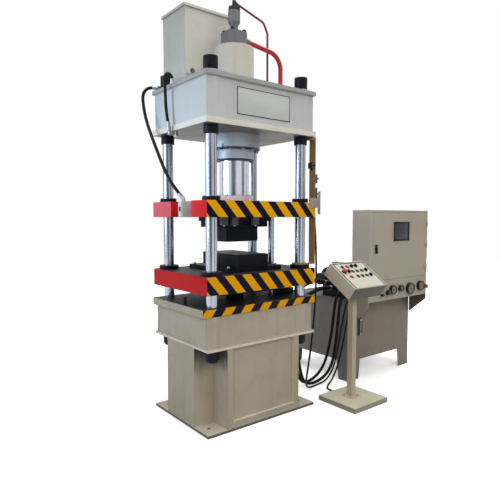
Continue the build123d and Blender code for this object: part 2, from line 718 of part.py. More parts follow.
def ram_flange():
    """Split flange that grips the ram's groove, bolted down on the slide."""
    top = SLIDE_TOP + RAM_FLANGE_HEIGHT
    groove_bottom = SLIDE_TOP + RAM_GROOVE_RISE + SEAT
    groove_top = SLIDE_TOP + RAM_GROOVE_RISE + RAM_GROOVE_HEIGHT - SEAT
    body = rod(RAM_FLANGE_DIA, SLIDE_TOP, top)
    body -= rod(RAM_DIA + 2 * SEAT, SLIDE_TOP, groove_bottom)
    body -= rod(GROOVE_DIA + 2 * SEAT, groove_bottom, groove_top)
    body -= rod(RAM_DIA + 2 * SEAT, groove_top, top)
    pitch = (RAM_DIA + RAM_FLANGE_DIA) / 4
    for i in range(RAM_BOLTS):
        angle = 2 * pi * (i + 0.5) / RAM_BOLTS
        x = pitch * cos(angle)
        y = pitch * sin(angle)
        body += hexagon(BOLT_HEAD, top, top + BOLT_HEAD_HEIGHT, x, y)
    return body - plate(RAM_FLANGE_SLIT, RAM_FLANGE_DIA, SLIDE_TOP, top)


def end_pockets(z0, z1, near):
    """Hollows between the front and back ribs of a moving slab, from y = near outwards."""
    reach = COLUMN_SPACING_X / 2 - BUSH_DIA / 2 - SLEEVE_WALL
    far = SLIDE_DEPTH / 2 - SLEEVE_WALL
    pockets = []
    for x0, x1 in ((-reach, -RIB / 2), (RIB / 2, reach)):
        pockets.append(span(x0, x1, near, far, z0, z1))
        pockets.append(span(x0, x1, -far, -near, z0, z1))
    return pockets


def slide():
    """Moving slab: bored for its bushes, pocketed from above, recessed on its left side."""
    half = SLIDE_WIDTH / 2
    ram_seat = RAM_FLANGE_DIA / 2 + SLEEVE_WALL
    floor = SLIDE_TOP - POCKET_DEPTH
    body = plate(SLIDE_WIDTH, SLIDE_DEPTH, SLIDE_BOTTOM, SLIDE_TOP)
    body -= column_holes(BUSH_DIA + 2 * SEAT, SLIDE_BOTTOM, SLIDE_TOP)
    body -= end_pockets(floor, SLIDE_TOP, ram_seat)
    front = POST_Y + POST_DIA / 2 + SLEEVE_WALL
    back = COLUMN_SPACING_Y / 2 - BUSH_DIA / 2 - SLEEVE_WALL
    recess = -half + RECESS_DEPTH
    body -= span(ram_seat, half - SLEEVE_WALL, front, back, floor, SLIDE_TOP)
    body -= span(recess + SLEEVE_WALL, -ram_seat, front, back, floor, SLIDE_TOP)
    body -= span(-half, recess, RECESS_FRONT, RECESS_BACK, SLIDE_BOTTOM, SLIDE_TOP)
    body -= post_holes(POST_DIA + 2 * HOLE, SLIDE_BOTTOM, SLIDE_BOTTOM + POST_BORE_DEPTH)
    return body


def lower_platen():
    """Moving lower slab: bored for its bushes and the guide posts, pocketed from below."""
    body = plate(PLATEN_WIDTH, PLATEN_DEPTH, PLATEN_BOTTOM, PLATEN_TOP)
    body -= column_holes(BUSH_DIA + 2 * SEAT, PLATEN_BOTTOM, PLATEN_TOP)
    body -= post_holes(POST_DIA + 2 * HOLE, PLATEN_BOTTOM, PLATEN_TOP)
    near = PAD_DEPTH / 2 + SLEEVE_WALL
    return body - end_pockets(PLATEN_BOTTOM, PLATEN_BOTTOM + POCKET_DEPTH, near)


def upper_die_shoe():
    """Stepped shoe under the slide, with the clamps that hold its ledge."""
    ledge_bottom = SLIDE_BOTTOM - SHOE_LEDGE
    shoe = plate(SHOE_WIDTH, SHOE_DEPTH, ledge_bottom, SLIDE_BOTTOM)
    shoe += plate(SHOE_WIDTH, SHOE_DEPTH - 2 * SHOE_STEP, SHOE_BOTTOM, ledge_bottom)
    pieces = [shoe]
    front = -SHOE_DEPTH / 2
    toe_bottom = ledge_bottom - CLAMP_TOE
    for x in CLAMP_PLACES:
        left, right = x - CLAMP_WIDTH / 2, x + CLAMP_WIDTH / 2
        heel = span(left, right, front - 1 - CLAMP_HEEL, front - 1, toe_bottom, SLIDE_BOTTOM)
        toe = span(left, right, front - 1, front + SHOE_STEP - 2, toe_bottom, ledge_bottom)
        pieces.append(heel + toe)
    return group(pieces)


def upper_punch():
    """Punch block under the shoe, with a chamfered nose."""
    body = plate(PUNCH_WIDTH, PUNCH_DEPTH, PUNCH_BOTTOM, SHOE_BOTTOM)
    return chamfer(body.faces().sort_by(Axis.Z)[0].edges(), 6)


def lower_die():
    """Lower die block on its shoe."""
    body = plate(LOWER_SHOE_WIDTH, LOWER_SHOE_DEPTH, PLATEN_TOP, LOWER_SHOE_TOP)
    body += plate(LOWER_DIE_WIDTH, LOWER_DIE_DEPTH, LOWER_SHOE_TOP, LOWER_DIE_TOP)
    return body


def guide_posts():
    """Two posts on the table, through the lower platen and into the slide."""
    def post(side):
        body = rod(POST_DIA, TABLE_TOP, SLIDE_BOTTOM + POST_ENTRY, side * POST_X, POST_Y)
        return body

    return group([post(-1), post(1)])


def table_stops():
    """Block and pin that the lower platen stops above."""
    top = TABLE_TOP + STOP_HEIGHT
    block = plate(*STOP_BLOCK, TABLE_TOP, top, *STOP_BLOCK_AT)
    return group([block, rod(STOP_PIN_DIA, TABLE_TOP, top, *STOP_PIN_AT)])


def cushion_cylinder():
    """Cylinder hung by its flange under the table, inside the bed."""
    outer = CUSHION_BORE + 2 * CUSHION_WALL
    bottom = TABLE_BOTTOM - CUSHION_LENGTH
    body = rod(outer, bottom, TABLE_BOTTOM)
    body += rod(CUSHION_FLANGE, TABLE_BOTTOM - CUSHION_FLANGE_HEIGHT, TABLE_BOTTOM)
    body -= rod(CUSHION_BORE, bottom + CUSHION_END, TABLE_BOTTOM - CUSHION_GLAND)
    body -= rod(CUSHION_ROD + 2 * RUNNING, TABLE_BOTTOM - CUSHION_GLAND, TABLE_BOTTOM)
    return body


def cushion_ram():
    """Pad under the lower platen, on the cushion's rod and piston."""
    piston_top = TABLE_BOTTOM - CUSHION_PISTON_DEPTH + CUSHION_PISTON
    body = plate(PAD_WIDTH, PAD_DEPTH, PAD_BOTTOM, PLATEN_BOTTOM)
    body += rod(CUSHION_ROD, piston_top, PAD_BOTTOM)
    body += rod(CUSHION_BORE - 2 * RUNNING, piston_top - CUSHION_PISTON, piston_top)
    return body


def prefill_tank():
    """Sheet tank on the crown with an overhanging lid and a short open pipe."""
    top = CROWN_TOP + TANK_HEIGHT
    body = span(TANK_LEFT, TANK_RIGHT, TANK_FRONT, TANK_BACK, CROWN_TOP, top)
    lid = LID_OVERHANG
    body += span(
        TANK_LEFT - lid, TANK_RIGHT + lid, TANK_FRONT - lid, TANK_BACK + lid,
        top - LID_HEIGHT / 2, top + LID_HEIGHT / 2,
    )
    wall = TANK_WALL
    body -= span(
        TANK_LEFT + wall, TANK_RIGHT - wall, TANK_FRONT + wall, TANK_BACK - wall,
        CROWN_TOP + wall, top - wall,
    )
    z = CROWN_TOP + STUB_RISE
    mouth = (STUB_X, TANK_FRONT - STUB_LENGTH, z)
    body += rod_between((STUB_X, TANK_FRONT, z), mouth, STUB_DIA)
    return body - rod_between((STUB_X, TANK_FRONT + 2 * wall, z), mouth, STUB_BORE)


def prefill_valve():
    """Chamfered valve block on the cylinder, with its bolts, neck and round upper body."""
    half = VALVE_SIZE / 2
    block = plate(VALVE_SIZE, VALVE_SIZE, BARREL_TOP, VALVE_TOP)
    body = chamfer(block.edges().filter_by(Axis.Z), VALVE_CHAMFER)
    wide, waist = NECK_DIA / 2, NECK_WAIST_DIA / 2
    flange_top = VALVE_TOP + NECK_FLANGE
    waist_top = flange_top + NECK_WAIST
    profile = [
        (0, VALVE_TOP), (wide, VALVE_TOP), (wide, flange_top), (waist, flange_top),
        (waist, waist_top), (wide, waist_top + NECK_TAPER), (wide, VALVE_HEAD), (0, VALVE_HEAD),
    ]
    body += revolve(make_face(Polyline(*[(r, 0, z) for r, z in profile], close=True)), Axis.Z)
    reach = half - VALVE_BOLT / 2 - VALVE_CHAMFER / 2
    for side in (-1, 1):
        for depth in (-1, 1):
            x, y = side * reach, depth * reach
            body += hexagon(VALVE_BOLT, VALVE_TOP, VALVE_TOP + VALVE_BOLT_HEIGHT, x, y)
    body += hexagon(CAP_ACROSS, VALVE_HEAD, VALVE_HEAD + CAP_HEIGHT)
    body += rod(TOP_UNION, VALVE_HEAD + CAP_HEIGHT, VALVE_HEAD + UNION_RISE)
    body += fitting(PILOT_ROUTE, PILOT_PIPE - FITTING_WALL, 2 * PIPE_STUB)
    return body + fitting(PRESSURE_ROUTE, PRESSURE_PIPE, 3 * PIPE_STUB)


def pipe(route, bends, dia, wall):
    """A bent pipe, open inside, along a route with one bend at each corner."""
    path = FilletPolyline(*route, radius=bends)
    section = Plane(origin=path @ 0, z_dir=path % 0) * (Circle(dia / 2) - Circle(dia / 2 - wall))
    return sweep(section, path)


def crown_union(route, dia):
    """Hexagon union that stands on the crown round a pipe's last end."""
    x, y, z = route[-1]
    nut = hexagon(dia + 14, z, z + dia, x, y)
    return nut - rod(dia - 1, z, z + dia, x, y)


def pressure_pipe():
    """Thick pipe from the valve block over to the crown."""
    body = pipe(PRESSURE_ROUTE, [PRESSURE_BEND], PRESSURE_PIPE, PRESSURE_PIPE_WALL)
    return body + crown_union(PRESSURE_ROUTE, PRESSURE_PIPE)


def pilot_pipe():
    """Thin pipe from the top of the valve down to the crown."""
    body = pipe(PILOT_ROUTE, [PILOT_BEND, PILOT_BEND], PILOT_PIPE, PILOT_PIPE_WALL)
    return body + crown_union(PILOT_ROUTE, PILOT_PIPE)


def switch_bar():
    """Flat bar beside the slide, on an arm under the crown and a ring clamped to the column."""
    x, y = COLUMN_SPACING_X / 2, -COLUMN_SPACING_Y / 2
    y0, y1 = BAR_Y - BAR_WIDTH / 2, BAR_Y + BAR_WIDTH / 2
    body = span(BAR_INNER, BAR_OUTER, y0, y1, BAR_BOTTOM, CROWN_BOTTOM)
    arm_left = x + NUT_DIA / 2 + BAR_GAP
    body += span(arm_left, BAR_INNER, y0, y1, CROWN_BOTTOM - ARM_HEIGHT, CROWN_BOTTOM)
    ring_top = BAR_BOTTOM + CLAMP_RING_HEIGHT
    ring = rod(COLUMN_DIA + 2 * CLAMP_RING_WALL, BAR_BOTTOM, ring_top, x, y)
    ring += span(x, BAR_INNER, y0, y0 + BAR_WIDTH / 2 + BAR_GAP, BAR_BOTTOM, ring_top)
    return body + (ring - rod(COLUMN_DIA + 2 * SEAT, BAR_BOTTOM, ring_top, x, y))


def limit_switches():
    """Three switches on the bar, with rollers that point at the dog's path."""
    front = DOG_BACK + SWITCH_CLEARANCE
    back = BAR_Y + BAR_WIDTH / 4
    face = BAR_Y - BAR_WIDTH / 2 + 8

    def switch(x0, x1, z0, z1):
        body = span(x0, x1, face, back, z0, z1)
        x, z = (x0 + x1) / 2, (z0 + z1) / 2
        roller = rod_between((x, face, z), (x, front, z), ROLLER_DIA)
        return body + roller

    inner = switch(BAR_INNER - SWITCH_DEPTH, BAR_INNER, 1880, 1926)
    middle = switch(BAR_OUTER, BAR_OUTER + SWITCH_DEPTH, 1766, 1836)
    lower = switch(BAR_OUTER, BAR_OUTER + SWITCH_DEPTH, 1636, 1732)
    return group([inner, middle, lower])


def trip_dog():
    """Plate on the slide's front right corner that carries the cam past the switches."""
    right = BAR_OUTER + SWITCH_DEPTH
    left = SLIDE_WIDTH / 2 - 64
    outline = [
        (left, SLIDE_TOP - 42), (right - 24, SLIDE_TOP - 42), (right - 24, SLIDE_TOP - 74),
        (right - 14, SLIDE_TOP - 92), (right, SLIDE_TOP - 92), (right, SLIDE_TOP + 88),
        (right - 14, SLIDE_TOP + 88), (right - 24, SLIDE_TOP + 70),
        (right - 24, SLIDE_TOP + 34), (left, SLIDE_TOP + 34),
    ]
    return upright(outline, DOG_FRONT, DOG_BACK)


def junction_box():
    """Box in the slide's recess, with the slide hose's fitting on top."""
    inner = -SLIDE_WIDTH / 2 + RECESS_DEPTH
    z0 = SLIDE_BOTTOM + 2
    body = span(
        inner - JUNCTION_WIDTH, inner, JUNCTION_FRONT, JUNCTION_FRONT + JUNCTION_DEPTH,
        z0, z0 + JUNCTION_HEIGHT,
    )
    foot = fitting_foot(SLIDE_HOSE_ROUTE, SLIDE_HOSE, -1)
    low = (inner - JUNCTION_WIDTH / 2, JUNCTION_FRONT + JUNCTION_DEPTH / 2, z0 + JUNCTION_HEIGHT / 2)
    body += rod_between(foot, low, SLIDE_HOSE) + Pos(*foot) * Sphere(SLIDE_HOSE / 2)
    return body + fitting(SLIDE_HOSE_ROUTE, SLIDE_HOSE, SLIDE_HOSE, -1)


def hose_fittings():
    """Port block, stand and elbow union of the two hoses on the crown."""
    tip = SLIDE_HOSE_ROUTE[0]
    half = SLIDE_HOSE / 2 + 2
    x = tip[0] + half + 6
    block = span(x - half, x + half, tip[1] - half, tip[1] + half, CROWN_TOP, tip[2] + half)
    block += fitting(SLIDE_HOSE_ROUTE, SLIDE_HOSE - FITTING_WALL, half + 6)
    x, y, z = CROWN_HOSE_ROUTE[0]
    stand = hexagon(CROWN_HOSE + 2 * FITTING_WALL, CROWN_TOP, z, x, y)
    foot = fitting_foot(CROWN_HOSE_ROUTE, COLLAR_LENGTH, -1)
    bend = (foot[0], foot[1], CROWN_BOTTOM - ELBOW_DROP)
    port = (*CROWN_HOSE_PORT, CROWN_BOTTOM - ELBOW_DROP)
    union = fitting(CROWN_HOSE_ROUTE, CROWN_HOSE, COLLAR_LENGTH, -1)
    union += rod_between(foot, bend, CROWN_HOSE)
    union += Pos(*bend) * Sphere(CROWN_HOSE / 2)
    union += rod_between(bend, port, CROWN_HOSE)
    nut = CROWN_HOSE + 2 * FITTING_WALL
    union += hexagon(nut, port[2] - nut / 2, CROWN_BOTTOM, port[0], port[1])
    return group([block, stand, union])


def leg(side, depth):
    """A bent corner leg under the oil tank, narrower at the floor."""
    x = OIL_LEFT if side < 0 else OIL_RIGHT
    y = OIL_FRONT if depth < 0 else OIL_BACK
    front = [
        (x, 0), (x - side * (LEG_WIDTH - LEG_TAPER_X), 0), (x - side * LEG_WIDTH, OIL_BOTTOM),
        (x, OIL_BOTTOM),
    ]
    across = [
        (y, 0), (y - depth * (LEG_DEPTH - LEG_TAPER_Y), 0), (y - depth * LEG_DEPTH, OIL_BOTTOM),
        (y, OIL_BOTTOM),
    ]
    y0, y1 = sorted((y, y - depth * OIL_WALL))
    x0, x1 = sorted((x, x - side * OIL_WALL))
    return upright(front, y0, y1) + side_plate(across, x0, x1)


def oil_tank():
    """Sheet tank on four bent legs, with a lipped lid and a level gauge."""
    wall = OIL_WALL
    body = span(OIL_LEFT, OIL_RIGHT, OIL_FRONT, OIL_BACK, OIL_BOTTOM, OIL_TOP)
    body -= span(
        OIL_LEFT + wall, OIL_RIGHT - wall, OIL_FRONT + wall, OIL_BACK - wall,
        OIL_BOTTOM + wall, OIL_TOP - OIL_LID,
    )
    body += span(
        OIL_LEFT - OIL_LIP, OIL_RIGHT + OIL_LIP, OIL_FRONT, OIL_BACK + OIL_LIP,
        OIL_TOP - OIL_LID, OIL_TOP,
    )
    for side in (-1, 1):
        for depth in (-1, 1):
            body += leg(side, depth)
    width, thickness, height = LEVEL_GAUGE
    x, z = LEVEL_GAUGE_AT
    body += span(
        x - width / 2, x + width / 2, OIL_FRONT - thickness, OIL_FRONT,
        z - height / 2, z + height / 2,
    )
    return body


def electric_cabinet():
    """Cabinet on the tank's front: box open behind its door, gauge panel, gussets, hinges."""
    wall = CABINET_WALL
    left, right = CABINET_LEFT, CABINET_RIGHT
    front, back = CABINET_FRONT, OIL_FRONT
    body = span(left, right, front, back, CABINET_BOTTOM, CABINET_TOP)
    body -= span(
        left + wall, right - wall, front + wall, back - wall, DOOR_BOTTOM, CABINET_TOP - wall
    )
    body -= span(left + wall, right - wall, front + wall, back, CABINET_BOTTOM, DOOR_BOTTOM - wall)
    body -= span(DOOR_LEFT, DOOR_RIGHT, front, front + wall, DOOR_BOTTOM, DOOR_TOP)
    gusset = [
        (front, CABINET_BOTTOM), (front, CABINET_BOTTOM - GUSSET_DROP),
        (back, CABINET_BOTTOM - GUSSET_REACH), (back, CABINET_BOTTOM),
    ]
    body += side_plate(gusset, left, left + wall)
    body += side_plate(gusset, right - wall, right)
    for z in HINGE_HEIGHTS:
        body += rod(HINGE_DIA, z - HINGE_KNUCKLE, z, HINGE_X, HINGE_Y)
        body += span(HINGE_X, HINGE_X + 12, front - 4, front, z - HINGE_KNUCKLE, z)
        body += rod(HINGE_PIN, z, z + HINGE_KNUCKLE, HINGE_X, HINGE_Y)
    body += fitting(SWITCH_CABLE_ROUTE, CABLE, GLAND_LENGTH, -1)
    return body + fitting(CONTROL_CABLE_ROUTE, CABLE, GLAND_LENGTH)


def cabinet_door():
    """Folded door with a screen frame, latch plate and hinge leaves."""
    front = CABINET_FRONT
    x0, x1 = DOOR_LEFT + DOOR_GAP, DOOR_RIGHT - DOOR_GAP
    z0, z1 = DOOR_BOTTOM + DOOR_GAP, DOOR_TOP - DOOR_GAP
    body = span(x0, x1, front, front + DOOR_THICKNESS, z0, z1)
    sheet = DOOR_SHEET
    body -= span(x0 + sheet, x1 - sheet, front + sheet, front + DOOR_THICKNESS, z0 + sheet, z1 - sheet)
    x, z = SCREEN_AT
    body += span(
        x - SCREEN_WIDTH / 2, x + SCREEN_WIDTH / 2, front - 3, front + DOOR_THICKNESS,
        z - SCREEN_HEIGHT / 2, z + SCREEN_HEIGHT / 2,
    )
    for z in HINGE_HEIGHTS:
        low, high = z + 1, z + HINGE_KNUCKLE
        knuckle = rod(HINGE_DIA, low, high, HINGE_X, HINGE_Y)
        knuckle += span(HINGE_X - 30, HINGE_X - 2, front - 4, front, low, high)
        knuckle += span(HINGE_X - 5, HINGE_X, HINGE_Y, front, low, high)
        body += knuckle - rod(HINGE_PIN + 2 * RUNNING, low, high, HINGE_X, HINGE_Y)
    return body


def door_latch():
    """Swing handle on the door's left side."""
    x, z = LATCH_AT
    width, height = LATCH_SIZE
    front = CABINET_FRONT - SEAT
    body = span(x - width / 2, x + width / 2, front - 16, front - 6, z - height / 2, z + height / 2)
    return body + rod_between((x, front, z), (x, front - 6, z), width - 4)


def pressure_gauges():
    """Gauges and valve knobs on the panel under the door."""
    front = CABINET_FRONT
    pieces = []
    for x, z, dia in GAUGES:
        case = rod_between((x, front, z), (x, front - GAUGE_DEPTH, z), dia)
        case -= rod_between((x, front - GAUGE_DEPTH + 5, z), (x, front - GAUGE_DEPTH, z), dia - 10)
        pieces.append(case)
    for x, z, dia in KNOBS:
        knob = rod_between((x, front - 10, z), (x, front - KNOB_DEPTH, z), dia)
        pieces.append(knob + rod_between((x, front, z), (x, front - 10, z), dia / 2))
    return group(pieces)


def pump_motor():
    """Finned motor on feet, with its pump in front."""
    x, y = MOTOR_AT
    z = OIL_TOP + MOTOR_AXIS_RISE
    left, right = x - MOTOR_LENGTH / 2, x + MOTOR_LENGTH / 2
    body = rod_between((left, y, z), (right, y, z), MOTOR_DIA - 24)
    for i in range(MOTOR_FINS):
        turn = Rot(360 / MOTOR_FINS * i, 0, 0)
        fin = Box(MOTOR_LENGTH - 90, 5, 16)
        body += Pos(x, y, z) * turn * Pos(0, 0, MOTOR_DIA / 2 - 14) * fin
    body += rod_between((left, y, z), (left + 26, y, z), MOTOR_DIA)
    body += rod_between((right - 40, y, z), (right, y, z), MOTOR_DIA)
    body += rod_between((left - PUMP_LENGTH, y, z), (left, y, z), PUMP_DIA)
    body += span(left + 30, right - 50, y - 90, y + 90, OIL_TOP, OIL_TOP + 14)
    for side in (-1, 1):
        foot = span(left + 40, right - 60, y + side * 70 - 8, y + side * 70 + 8, OIL_TOP + 14, z)
        body += foot
    return body


def valve_block():
    """Manifold on the tank with solenoid valves and the hoses' ports."""
    right, back = BLOCK_LEFT + BLOCK_WIDTH, BLOCK_FRONT + BLOCK_DEPTH
    body = span(BLOCK_LEFT, right, BLOCK_FRONT, back, OIL_TOP, BLOCK_TOP)
    width, depth, height = VALVE_BODY
    x = BLOCK_LEFT + BLOCK_WIDTH * 0.68
    for y in (-90, 10):
        body += plate(width, depth, BLOCK_TOP, BLOCK_TOP + height, x, y)
        z = BLOCK_TOP + height / 2
        body += rod_between((x, y + depth / 2, z), (x, y - depth / 2, z), COIL_DIA)
        body += rod_between((x + width / 2, y, z), (x + width / 2 + COIL_LENGTH, y, z), COIL_DIA)
    body += fitting(FLOOR_HOSE_A_ROUTE, FLOOR_HOSE, PORT_LENGTH)
    body += fitting(FLOOR_HOSE_B_ROUTE, FLOOR_HOSE, PORT_LENGTH)
    body += fitting(RETURN_HOSE_ROUTE, FEED_HOSE, PORT_LENGTH)
    return body + fitting(FEED_HOSE_ROUTE, FEED_HOSE, PORT_LENGTH)


def console_stand():
    """Folded floor box, open below, with a square post cut to the control box's underside."""
    height = CONSOLE_BASE_HEIGHT
    sheet = CONSOLE_SHEET
    y = CONSOLE_BASE_BACK - CONSOLE_BASE_DEPTH / 2
    body = plate(CONSOLE_BASE_WIDTH, CONSOLE_BASE_DEPTH, 0, height, CONSOLE_X, y)
    body -= plate(
        CONSOLE_BASE_WIDTH - 2 * sheet, CONSOLE_BASE_DEPTH - 2 * sheet, 0, height - sheet,
        CONSOLE_X, y,
    )
    tube = plate(POST_TUBE, POST_TUBE, height, FACE_CENTRE_Z, CONSOLE_X, POST_TUBE_Y)
    inner = POST_TUBE - 2 * POST_TUBE_WALL
    tube -= plate(inner, inner, height, FACE_CENTRE_Z, CONSOLE_X, POST_TUBE_Y)
    above = FACE * Pos(0, 0, FACE_CENTRE_Z / 2 - BOX_DEPTH) * Box(
        BOX_WIDTH, 2 * BOX_LENGTH, FACE_CENTRE_Z
    )
    body += tube - above
    return body + fitting(CONTROL_CABLE_ROUTE, CABLE, GLAND_LENGTH + CONSOLE_SHEET, -1)


def control_box():
    """Tilted sheet box with a face plate, bezels and bores for the controls."""
    sheet = BOX_SHEET
    box = Pos(0, 0, -BOX_DEPTH / 2) * Box(BOX_WIDTH, BOX_LENGTH, BOX_DEPTH)
    box -= Pos(0, 0, -BOX_DEPTH / 2) * Box(
        BOX_WIDTH - 2 * sheet, BOX_LENGTH - 2 * sheet, BOX_DEPTH - 2 * sheet
    )
    width, height, thickness = FACE_PLATE
    box += Pos(0, FACE_PLATE_Y, thickness / 2) * Box(width, height, thickness)
    bore = BUTTON_DIA + 2 * HOLE
    for x, y in BUTTONS.values():
        box += Pos(x, y, BEZEL_HEIGHT / 2) * Cylinder(BEZEL_DIA / 2, BEZEL_HEIGHT)
        box -= Pos(x, y, 0) * Cylinder(bore / 2, 4 * BEZEL_HEIGHT)
    for x, y in SELECTORS.values():
        box += Pos(x, y, BEZEL_HEIGHT / 2) * Cylinder(BEZEL_DIA / 2, BEZEL_HEIGHT)
    x, y = EMERGENCY_STOP
    box += Pos(x, y, STOP_COLLAR / 2) * Cylinder(BEZEL_DIA / 2, STOP_COLLAR)
    box -= Pos(x, y, 0) * Cylinder(bore / 2, 4 * STOP_COLLAR)
    return FACE * box


def push_button(x, y):
    """Round button that slides in its bezel."""
    bottom = -BUTTON_TRAVEL
    height = BUTTON_PROUD - bottom
    return FACE * (Pos(x, y, bottom + height / 2) * Cylinder(BUTTON_DIA / 2, height))


def selector(x, y):
    """Bar handle of a rotary switch, above its bezel."""
    z = BEZEL_HEIGHT + SEAT + SELECTOR_HEIGHT / 2
    return FACE * (Pos(x, y, z) * Box(SELECTOR_WIDTH, SELECTOR_LENGTH, SELECTOR_HEIGHT))


def emergency_stop():
    """Mushroom head on a stem that slides in its collar."""
    x, y = EMERGENCY_STOP
    head_bottom = STOP_COLLAR + BUTTON_TRAVEL + 2
    stem = head_bottom + BUTTON_TRAVEL
    body = Pos(x, y, head_bottom - stem / 2) * Cylinder(BUTTON_DIA / 2, stem)
    z = head_bottom + STOP_HEAD_HEIGHT / 2
    return FACE * (body + Pos(x, y, z) * Cylinder(STOP_HEAD_DIA / 2, STOP_HEAD_HEIGHT))


def signal_lamps():
    """Two lamp caps on the console's face."""
    height = BUTTON_PROUD
    bottom = FACE_PLATE[2]
    return group([
        FACE * (Pos(x, y, bottom + height / 2) * Cylinder(BUTTON_DIA / 2, height))
        for x, y in LAMPS
    ])


def cord(name, route, dia):
    """A hose or cable as a tube of straight runs and arcs; prints its length and radii."""
    points = [Vector(*point) for point in route]
    runs = [b - a for a, b in zip(points, points[1:])]
    radii = []
    for before, after in zip(runs, runs[1:]):
        turn = radians(before.get_angle(after))
        radii.append(ARC_SHARE * min(before.length, after.length) / tan(turn / 2))
    path = FilletPolyline(*route, radius=radii)
    tube = sweep(Plane(origin=path @ 0, z_dir=path % 0) * Circle(dia / 2), path)
    expected = pi * dia**2 / 4 * path.length
    print(
        f"{name}: length {path.length:.0f}, smallest radius {min(radii):.0f}, "
        f"volume over section times length {tube.volume / expected:.4f}"
    )
    print("  radii", [round(radius) for radius in radii])
    return tube


NODES = {
    "pedestal": pedestal(),
    "bed_beam": bed_beam(),
    "table_plate": table_plate(),
    "crown": crown(),
    "columns": columns(),
    "column_nuts": column_nuts(),
    "main_cylinder": main_cylinder(),
    "cylinder_rings": group([cylinder_lock_ring(), cylinder_gland_ring()]),
    "main_ram": main_ram(),
    "ram_flange": ram_flange(),
    "slide": slide(),
    "slide_bushes": bushes(SLIDE_BUSH_FLANGE, SLIDE_BUSH_HEIGHT, SLIDE_BOTTOM, SLIDE_TOP),
    "upper_die_shoe": upper_die_shoe(),
    "upper_punch": upper_punch(),
    "guide_posts": guide_posts(),
    "lower_platen": lower_platen(),
    "platen_bushes": bushes(PLATEN_BUSH_FLANGE, PLATEN_BUSH_HEIGHT, PLATEN_BOTTOM, PLATEN_TOP),
    "lower_die": lower_die(),
    "cushion_ram": cushion_ram(),
    "cushion_cylinder": cushion_cylinder(),
    "table_stops": table_stops(),
    "prefill_tank": prefill_tank(),
    "prefill_valve": prefill_valve(),
    "pressure_pipe": pressure_pipe(),
    "pilot_pipe": pilot_pipe(),
    "switch_bar": group([switch_bar(), limit_switches()]),
    "trip_dog": trip_dog(),
    "junction_box": junction_box(),
    "hose_fittings": hose_fittings(),
    "oil_tank": oil_tank(),
    "electric_cabinet": electric_cabinet(),
    "cabinet_door": cabinet_door(),
    "door_latch": door_latch(),
    "pressure_gauges": pressure_gauges(),
    "pump_motor": pump_motor(),
    "valve_block": valve_block(),
    "console_stand": console_stand(),
    "control_box": control_box(),
    "signal_lamps": signal_lamps(),
    "emergency_stop": emergency_stop(),
    "slide_hose": cord("slide_hose", SLIDE_HOSE_ROUTE, SLIDE_HOSE),
    "crown_hose": cord("crown_hose", CROWN_HOSE_ROUTE, CROWN_HOSE),
    "feed_hose": cord("feed_hose", FEED_HOSE_ROUTE, FEED_HOSE),
    "return_hose": cord("return_hose", RETURN_HOSE_ROUTE, FEED_HOSE),
    "floor_hose_a": cord("floor_hose_a", FLOOR_HOSE_A_ROUTE, FLOOR_HOSE),
    "floor_hose_b": cord("floor_hose_b", FLOOR_HOSE_B_ROUTE, FLOOR_HOSE),
    "switch_cable": cord("switch_cable", SWITCH_CABLE_ROUTE, CABLE),
    "control_cable": cord("control_cable", CONTROL_CABLE_ROUTE, CABLE),
}
for button, place in BUTTONS.items():
    NODES[button] = push_button(*place)
for handle, place in SELECTORS.items():
    NODES[handle] = selector(*place)

os.makedirs("parts", exist_ok=True)
for name, shape in NODES.items():
    export_step(shape, f"parts/{name}.step")
print(len(NODES), "sub-parts")
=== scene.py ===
import random
from functools import partialmethod
from itertools import product
from math import cos, pi, radians, sin, tau

import bmesh
import bpy
from mathutils import Matrix, Vector


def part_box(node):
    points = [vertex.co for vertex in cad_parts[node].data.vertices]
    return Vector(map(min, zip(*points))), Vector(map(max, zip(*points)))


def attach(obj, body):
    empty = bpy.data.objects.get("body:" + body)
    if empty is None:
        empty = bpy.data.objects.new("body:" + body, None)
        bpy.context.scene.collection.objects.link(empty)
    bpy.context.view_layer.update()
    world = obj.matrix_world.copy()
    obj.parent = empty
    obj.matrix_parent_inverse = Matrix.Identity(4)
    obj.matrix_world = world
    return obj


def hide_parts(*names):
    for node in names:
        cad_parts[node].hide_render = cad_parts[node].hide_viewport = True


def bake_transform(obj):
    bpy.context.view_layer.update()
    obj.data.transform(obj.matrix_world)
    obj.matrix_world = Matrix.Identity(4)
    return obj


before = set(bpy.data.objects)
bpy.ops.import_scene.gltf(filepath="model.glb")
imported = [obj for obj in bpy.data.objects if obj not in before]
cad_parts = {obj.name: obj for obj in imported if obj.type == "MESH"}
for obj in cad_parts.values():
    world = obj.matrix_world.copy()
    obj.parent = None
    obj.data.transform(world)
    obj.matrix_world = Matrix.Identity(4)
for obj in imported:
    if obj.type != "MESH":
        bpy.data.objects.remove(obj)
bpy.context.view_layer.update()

scene = bpy.context.scene
scene.view_settings.view_transform = "Standard"
MM = 0.001
MACHINE, SLIDE, PLATEN = "machine", "slide", "lower_platen"
UP, DOWN = (0, 0, 1), (0, 0, -1)
FORE, BACK, LEFT, RIGHT = (0, -1, 0), (0, 1, 0), (-1, 0, 0), (1, 0, 0)

# Camera, where the photographer stood: place, turn from X and tilt in degrees, lens in mm
CAMERA_AT = (-2.2327, -3.0498, 1.5)
CAMERA_YAW, CAMERA_PITCH = 51.97, -3.89
CAMERA_LENS = 34.78


def box(node):
    """A CAD node's lowest and highest corner at rest, in millimetres."""
    return [[round(value / MM, 1) for value in corner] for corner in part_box(node)]


def top(node):
    """The height of a CAD node's top at rest, in millimetres."""
    return box(node)[1][2]


def linked(name, data):
    """A new object of the scene."""
    item = bpy.data.objects.new(name, data)
    scene.collection.objects.link(item)
    return item


def aimed(at, direction, face="-Z"):
    """The place and turn of something that looks in a direction with one of its own faces."""
    turn = Vector(direction).to_track_quat(face, "Y").to_matrix().to_4x4()
    return Matrix.Translation(at) @ turn


